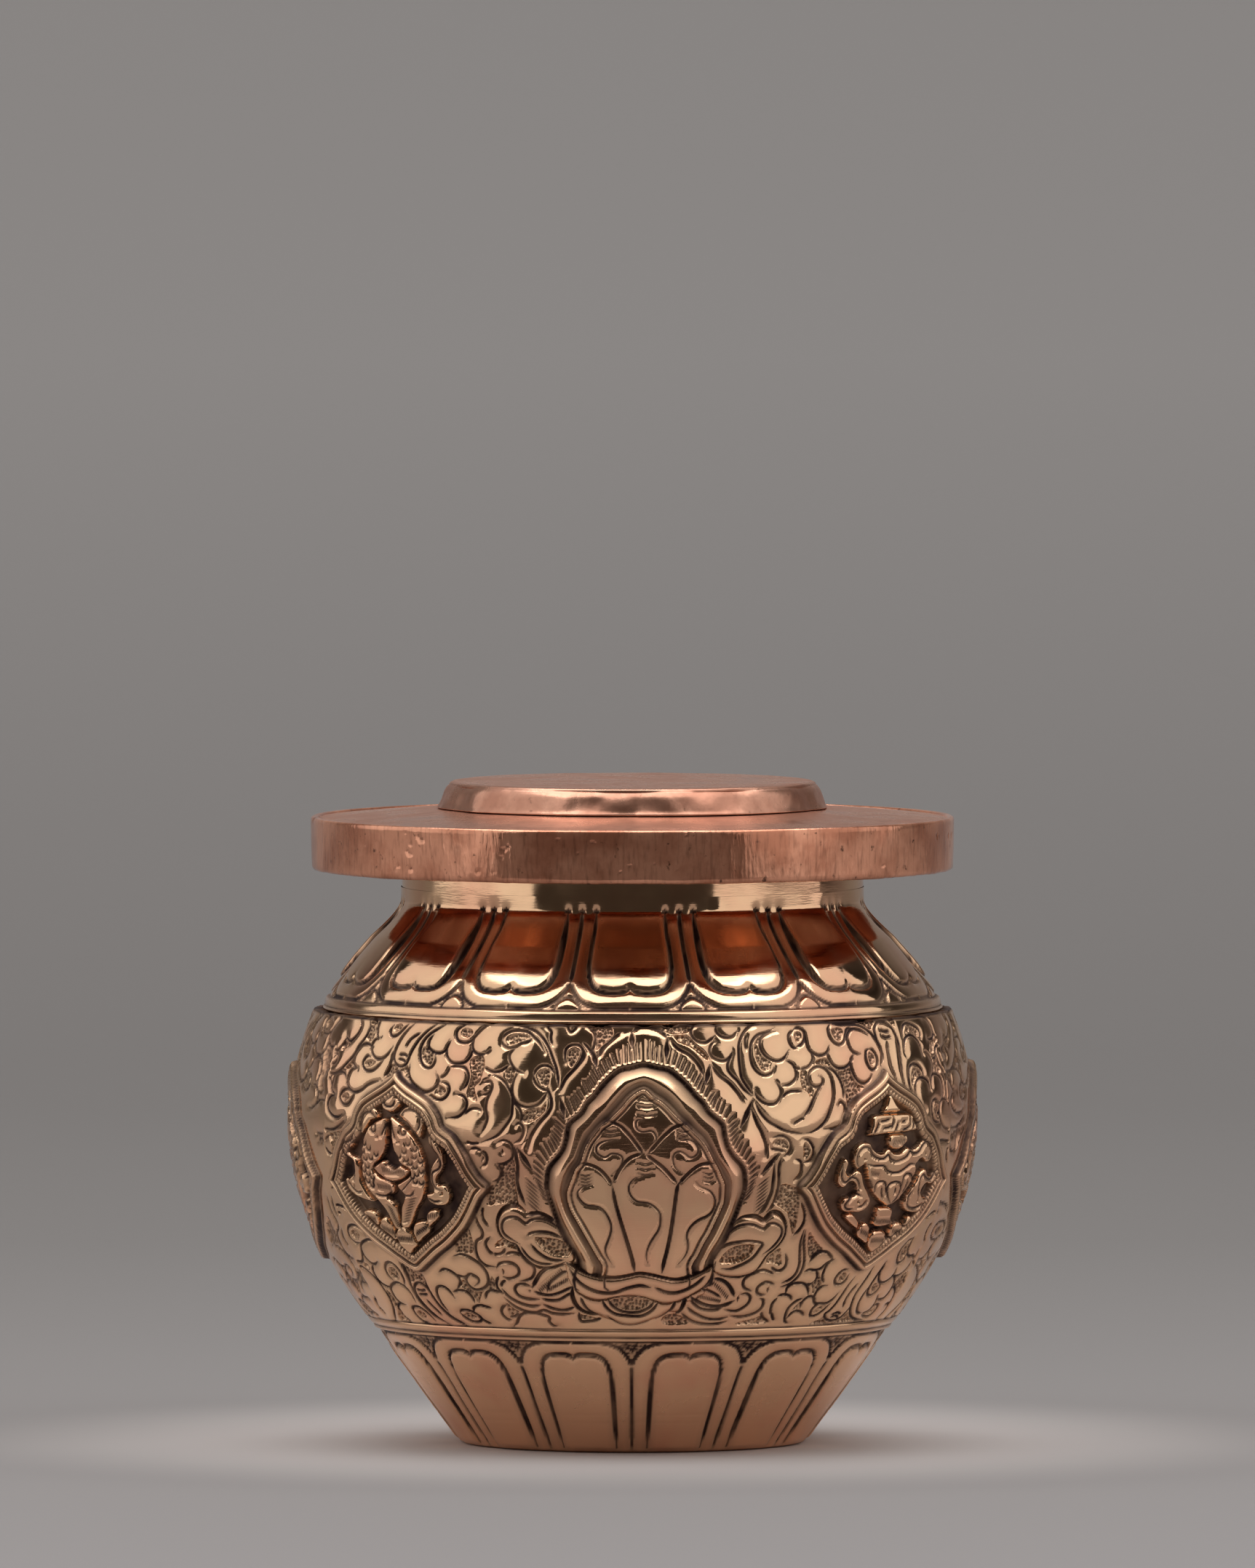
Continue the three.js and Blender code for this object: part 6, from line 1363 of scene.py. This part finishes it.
front = bellySheet(-belly['edge'], belly['edge'], belly['pitch'])
foliagePanel(front, leftTile)
foliagePanel(front, rightTile)
jewelPanel(front)
flames(front)
seatAndClouds(front)
medallion(front, fish)
medallion(front, treasure)
front.matting()
faded(front)
print('front worked', front.lift.shape)
points, stain, normals = bellyStrip(front)
thirds = np.linspace(0, points.shape[1] - 1, 4).round().astype(int)
for name, node, start, end in zip(('bellyLeft', 'bellyFront', 'bellyRight'), (None, 'belly_shell', None),
                                  thirds[:-1], thirds[1:]):
    part = np.s_[:, start:end + 1]
    made = gridObject(name, points[part], stain[part], False, normals[part])
    finish(made, 'vase', node, gold)

for name, emblem, tile, middle, count, first in (('bellyBack', fish, leftTile, -45.7, 3, 88.8),
                                                 ('bellyBackBetween', treasure, rightTile, 46.2, 2, 134.4)):
    sheet = bellySheet(middle - belly['tile'] / 2, middle + belly['tile'] / 2, belly['backPitch'])
    tileMiddle = math.copysign(belly['tileMiddle'], middle)
    foliagePanel(sheet, tile, middle - belly['stretch'] * tileMiddle, belly['stretch'])
    medallion(sheet, emblem)
    sheet.matting()
    faded(sheet)
    points, stain, _ = bellyStrip(sheet)
    back = gridObject(name, points, stain)
    ringOf(back, count, first - middle, gold, 2 * belly['tile'])
    finish(back, 'vase', None)


# Lid: a shallow cone of sheet, an upright rim band, a low boss soldered on top and a collar below that
# sits in the neck. The rim is filed by hand, so it is a little uneven and pitted.
# The last two shares paint the plate's underside and the rim's inside face darker: painted shade under the
# lid.
lid = {'coneEdge': 47.75, 'rimTop': 94.6, 'rimFoot': 86.6, 'rimRadius': 48.55, 'rimWall': 1.4, 'corner': 0.7,
       'plate': 1.0, 'bossFoot': 96.0, 'bossRadius': 29.4, 'bossTopRadius': 28.7, 'top': 100.0,
       'bossCorner': 0.7, 'bossWall': 1.3, 'collarRadius': 33.25, 'collarWall': 1.0, 'collarFoot': 84.9,
       'collarTop': 93.4, 'collarCorner': 0.3, 'pit': 1.3, 'pitDepth': 0.22, 'underPaintedShade': 0.2,
       'insidePaintedShade': 0.25}


# Noise round 0 for surfaces that are worked by hand.
def uneven(x, y, seed, height):
    return height * (softNoise(x, y, seed) - 0.5)


# Small pits, in patches round the rim.
def rimPits(angles, radius, heights):
    across = np.radians(angles) * lid['rimRadius']
    x, y = across / lid['pit'], (heights + radius * 0.7) / lid['pit']
    deep = softNoise(x, y, 5) * softNoise(x * 2.3, y * 2.3, 8)
    patches = np.clip(softNoise(across / 7, heights / 4, 33) * 2 - 0.6, 0, 1)
    return np.clip((deep - 0.62) / 0.2, 0, 1) * patches


def rimWobble(angles, radius, heights):
    across = np.radians(angles) * lid['rimRadius']
    filed = uneven(across / 0.7, heights / 6, 3, 0.03) + uneven(across / 6, heights / 7, 9, 0.14)
    edge = uneven(across / 3.2, 0 * heights, 21, 0.16) + uneven(across / 1.1, 0 * heights, 27, 0.1)
    near = np.exp(-((heights - lid['rimFoot']) / 1.2) ** 2)
    outside = radius > lid['rimRadius'] - 0.5
    out = filed - lid['pitDepth'] * rimPits(angles, radius, heights) - 0.05
    return out * outside, -edge * near * 0.6


# Patina in the rim's pits and along its foot edge; its inside face is painted darker, painted shade under
# the lid.
def rimPatinaAndShade(angles, radius, heights):
    edge = 0.35 * np.exp(-((heights - lid['rimFoot']) / 0.35) ** 2)
    inside = (radius < lid['rimRadius'] - 0.7) * (heights < 94)
    return np.clip(0.9 * rimPits(angles, radius, heights) + edge + lid['insidePaintedShade'] * inside, 0, 1)


rimInside = lid['rimRadius'] - lid['rimWall']
rimLoop = [(rimInside, 90), (rimInside, lid['rimFoot']), (lid['rimRadius'] - 0.15, lid['rimFoot']),
           (lid['rimRadius'], lid['rimTop']), (rimInside + 0.2, lid['rimTop'] + 0.05), (rimInside, 90)]
rimLine = dense(cornered(rimLoop, lid['corner']), 0.3)
rimBand = turnedObject('lidRimBand', rimLine, 900, rimWobble, rimPatinaAndShade)
welded(rimBand)
finish(rimBand, 'lid', 'lid_rim_band', rimCopper)


def plateWobble(angles, radius, heights):
    x, y = radius * np.sin(np.radians(angles)), radius * np.cos(np.radians(angles))
    blows = uneven(x / 6 + 40, y / 6 + 40, 2, 0.05) + uneven(x / 2.5 + 40, y / 2.5 + 40, 8, 0.02)
    return 0 * radius, blows * np.clip((radius - 1) / 4, 0, 1) - 0.04


plateTop = [(lid['coneEdge'] - 0.3, 94.35), (40, 95.0), (30, 95.75), (20, 96.3), (10, 96.4), (0.0, 96.4)]
plateUnder = [(r, z - lid['plate']) for r, z in plateTop[::-1]]


# The plate's underside is painted darker: painted shade under the lid.
def plateUnderShade(angles, radius, heights):
    top = np.interp(radius, *np.transpose(plateTop[::-1]))
    return lid['underPaintedShade'] * (heights < top - 0.5)


plateLine = dense(plateUnder + plateTop + plateUnder[:1], 0.9)
plate = turnedObject('lidPlate', plateLine, 300, plateWobble, plateUnderShade)
welded(plate, 0.00003)
finish(plate, 'lid', 'lid_plate', topCopper)


# The boss has flats from the hammer round its side, and shallow blows on top.
def bossWobble(angles, radius, heights):
    turn = np.radians(angles)
    across = turn * 29
    flats = uneven(across / 5.5, heights / 3, 14, 0.5) + uneven(across / 2.4, heights / 1.5, 4, 0.2)
    x, y = radius * np.sin(turn), radius * np.cos(turn)
    blows = uneven(x / 5 + 60, y / 5 + 60, 6, 0.07)
    top = (heights > lid['top'] - 0.6) * np.clip(radius / 3, 0, 1)
    side = (radius > 27.6) * (heights < lid['top'] - 0.3)
    return (flats - 0.3) * side, (blows - 0.05) * top


bossSide, bossTop, bossFoot = lid['bossTopRadius'], lid['top'], lid['bossFoot']
bossUnder = bossTop - lid['bossWall']
bossShell = [(0.0, bossTop - 0.05), (bossSide - 1.4, bossTop - 0.02), (bossSide - 0.3, bossTop - 1.1),
             (lid['bossRadius'] - 0.15, bossFoot + 0.5), (lid['bossRadius'] + 0.25, bossFoot - 0.1),
             (lid['bossRadius'] - 1.2, bossFoot - 0.1), (bossSide - lid['bossWall'], bossUnder),
             (0.0, bossUnder)]
bossLoop = cornered(bossShell, lid['bossCorner'])[::-1]
boss = turnedObject('lidBoss', dense(bossLoop + bossLoop[:1], 0.45), 420, bossWobble)
welded(boss, 0.00003)
finish(boss, 'lid', 'lid_boss', topCopper)

outside = lid['collarRadius']
inside = outside - lid['collarWall']
collarLoop = [(inside, 89), (inside, lid['collarFoot']), (outside, lid['collarFoot']),
              (outside, lid['collarTop']), (inside, lid['collarTop']), (inside, 89)]
collar = turnedObject('lidCollar', dense(cornered(collarLoop, lid['collarCorner']), 0.8), 240)
welded(collar)
finish(collar, 'lid', 'lid_collar', rimCopper)


# Studio: a pale grey paper sweep with painted shade towards the back of the floor and painted light up the
# wall, soft boxes at the left and right with a dark gap between them where the camera stands, one overhead
# and one on the backdrop.
# 'near' is the colour of a painted pool of light on the paper round the vase, lighter where the vase's own
# shade falls; the two pool distances are its reach in metres.
studio = {'near': 'C4BCB9', 'paper': '8B8685', 'far': '767270', 'back': '8A8684', 'room': '35322F',
          'floorFront': -0.5, 'bend': 0.9, 'bendRadius': 1.1, 'height': 4.5, 'halfWidth': 5.0,
          'paintedPoolFrom': 0.03, 'paintedPoolTo': 0.115, 'aim': 0.06}


def sweep():
    outline = [(studio['floorFront'], 0.0), (studio['bend'], 0.0)]
    for turn in np.radians(np.arange(5, 91, 5)):
        outline.append((studio['bend'] + studio['bendRadius'] * math.sin(turn),
                        studio['bendRadius'] * (1 - math.cos(turn))))
    outline.append((studio['bend'] + studio['bendRadius'], studio['height']))
    points = np.array([[(side * studio['halfWidth'], y, z) for side in (-1, 1)] for y, z in outline]) / mm
    return gridObject('sweep', points)


# The paper is seen from its face only, so a camera behind it looks through it. A pool of light is
# painted on it round the vase.
def paper():
    made, tree = newMaterial('seamless studio paper, matt')
    place = add(tree, 'ShaderNodeTexCoord').outputs['Object']
    parts = add(tree, 'ShaderNodeSeparateXYZ', {'Vector': place}).outputs
    # The grey is painted darker from the front of the floor towards the back and lighter again up the wall:
    # painted shade and light on one paper.
    away = ranged(tree, parts['Y'], -0.25, 0.5)
    colour = mixed(tree, away, linear(studio['paper']), linear(studio['far']))
    wall = mixed(tree, ranged(tree, parts['Z'], 0.0, 0.12), colour, linear(studio['back']))
    # A painted pool of light round the vase: close to it the paper turns to the near colour.
    reach = add(tree, 'ShaderNodeVectorMath', {0: place}, operation='LENGTH').outputs['Value']
    paintedPool = ranged(tree, reach, studio['paintedPoolFrom'], studio['paintedPoolTo'], 1.0, 0.0,
                  interpolation_type='SMOOTHSTEP')
    paperWithPaintedLight = mixed(tree, paintedPool, wall, linear(studio['near']))
    front = add(tree, 'ShaderNodeBsdfPrincipled', {'Base Color': paperWithPaintedLight, 'Roughness': 0.8})
    behind = add(tree, 'ShaderNodeNewGeometry').outputs['Backfacing']
    clear = add(tree, 'ShaderNodeBsdfTransparent')
    surface = add(tree, 'ShaderNodeMixShader', {
        0: behind, 1: front.outputs['BSDF'], 2: clear.outputs['BSDF']})
    add(tree, 'ShaderNodeOutputMaterial', {'Surface': surface.outputs['Shader']})
    return made


floor = sweep()
floor.data.materials.append(paper())


def aimed(made, place, target):
    made.location = place
    made.rotation_euler = (Vector(target) - Vector(place)).to_track_quat('-Z', 'Y').to_euler()
    bpy.context.collection.objects.link(made)


def softBox(name, azimuth, elevation, distance, size, power):
    lamp = bpy.data.lights.new(name, 'AREA')
    lamp.shape = 'RECTANGLE'
    lamp.size, lamp.size_y = size
    lamp.energy = power
    made = bpy.data.objects.new(name, lamp)
    turn, rise = math.radians(azimuth), math.radians(elevation)
    target = Vector((0, 0, studio['aim']))
    way = Vector((math.sin(turn) * math.cos(rise), -math.cos(turn) * math.cos(rise), math.sin(rise)))
    aimed(made, target + distance * way, target)


softBox('left soft box', -86, 27, 1.6, (2.4, 2.0), 11.5)
softBox('right soft box', 72, 27, 1.6, (2.4, 2.0), 11.5)
softBox('overhead soft box', 0, 82, 1.7, (2.6, 1.6), 28)
softBox('backdrop soft box', 180, 62, 2.6, (2.5, 0.8), 25)

world = bpy.data.worlds.new('room')
world.use_nodes = True
world.node_tree.nodes.clear()
room = add(world.node_tree, 'ShaderNodeBackground', {'Color': linear(studio['room']), 'Strength': 1.0})
add(world.node_tree, 'ShaderNodeOutputWorld', {'Surface': room.outputs['Background']})
bpy.context.scene.world = world

# The photograph's view: far away, a little above and almost level, with a long lens.
view = {'place': (-0.1453, -4.4977, 0.304), 'target': (-0.00077, 0.00002, 0.0994), 'lens': 685.6,
        'sensor': 36.0}
lens = bpy.data.cameras.new('camera')
lens.sensor_fit = 'VERTICAL'
lens.sensor_height = view['sensor']
lens.lens = view['lens']
lens.clip_start, lens.clip_end = 0.1, 50
camera = bpy.data.objects.new('camera', lens)
aimed(camera, view['place'], view['target'])
bpy.context.scene.camera = camera
bpy.context.scene.view_settings.view_transform = 'Standard'
print('studio and camera made')
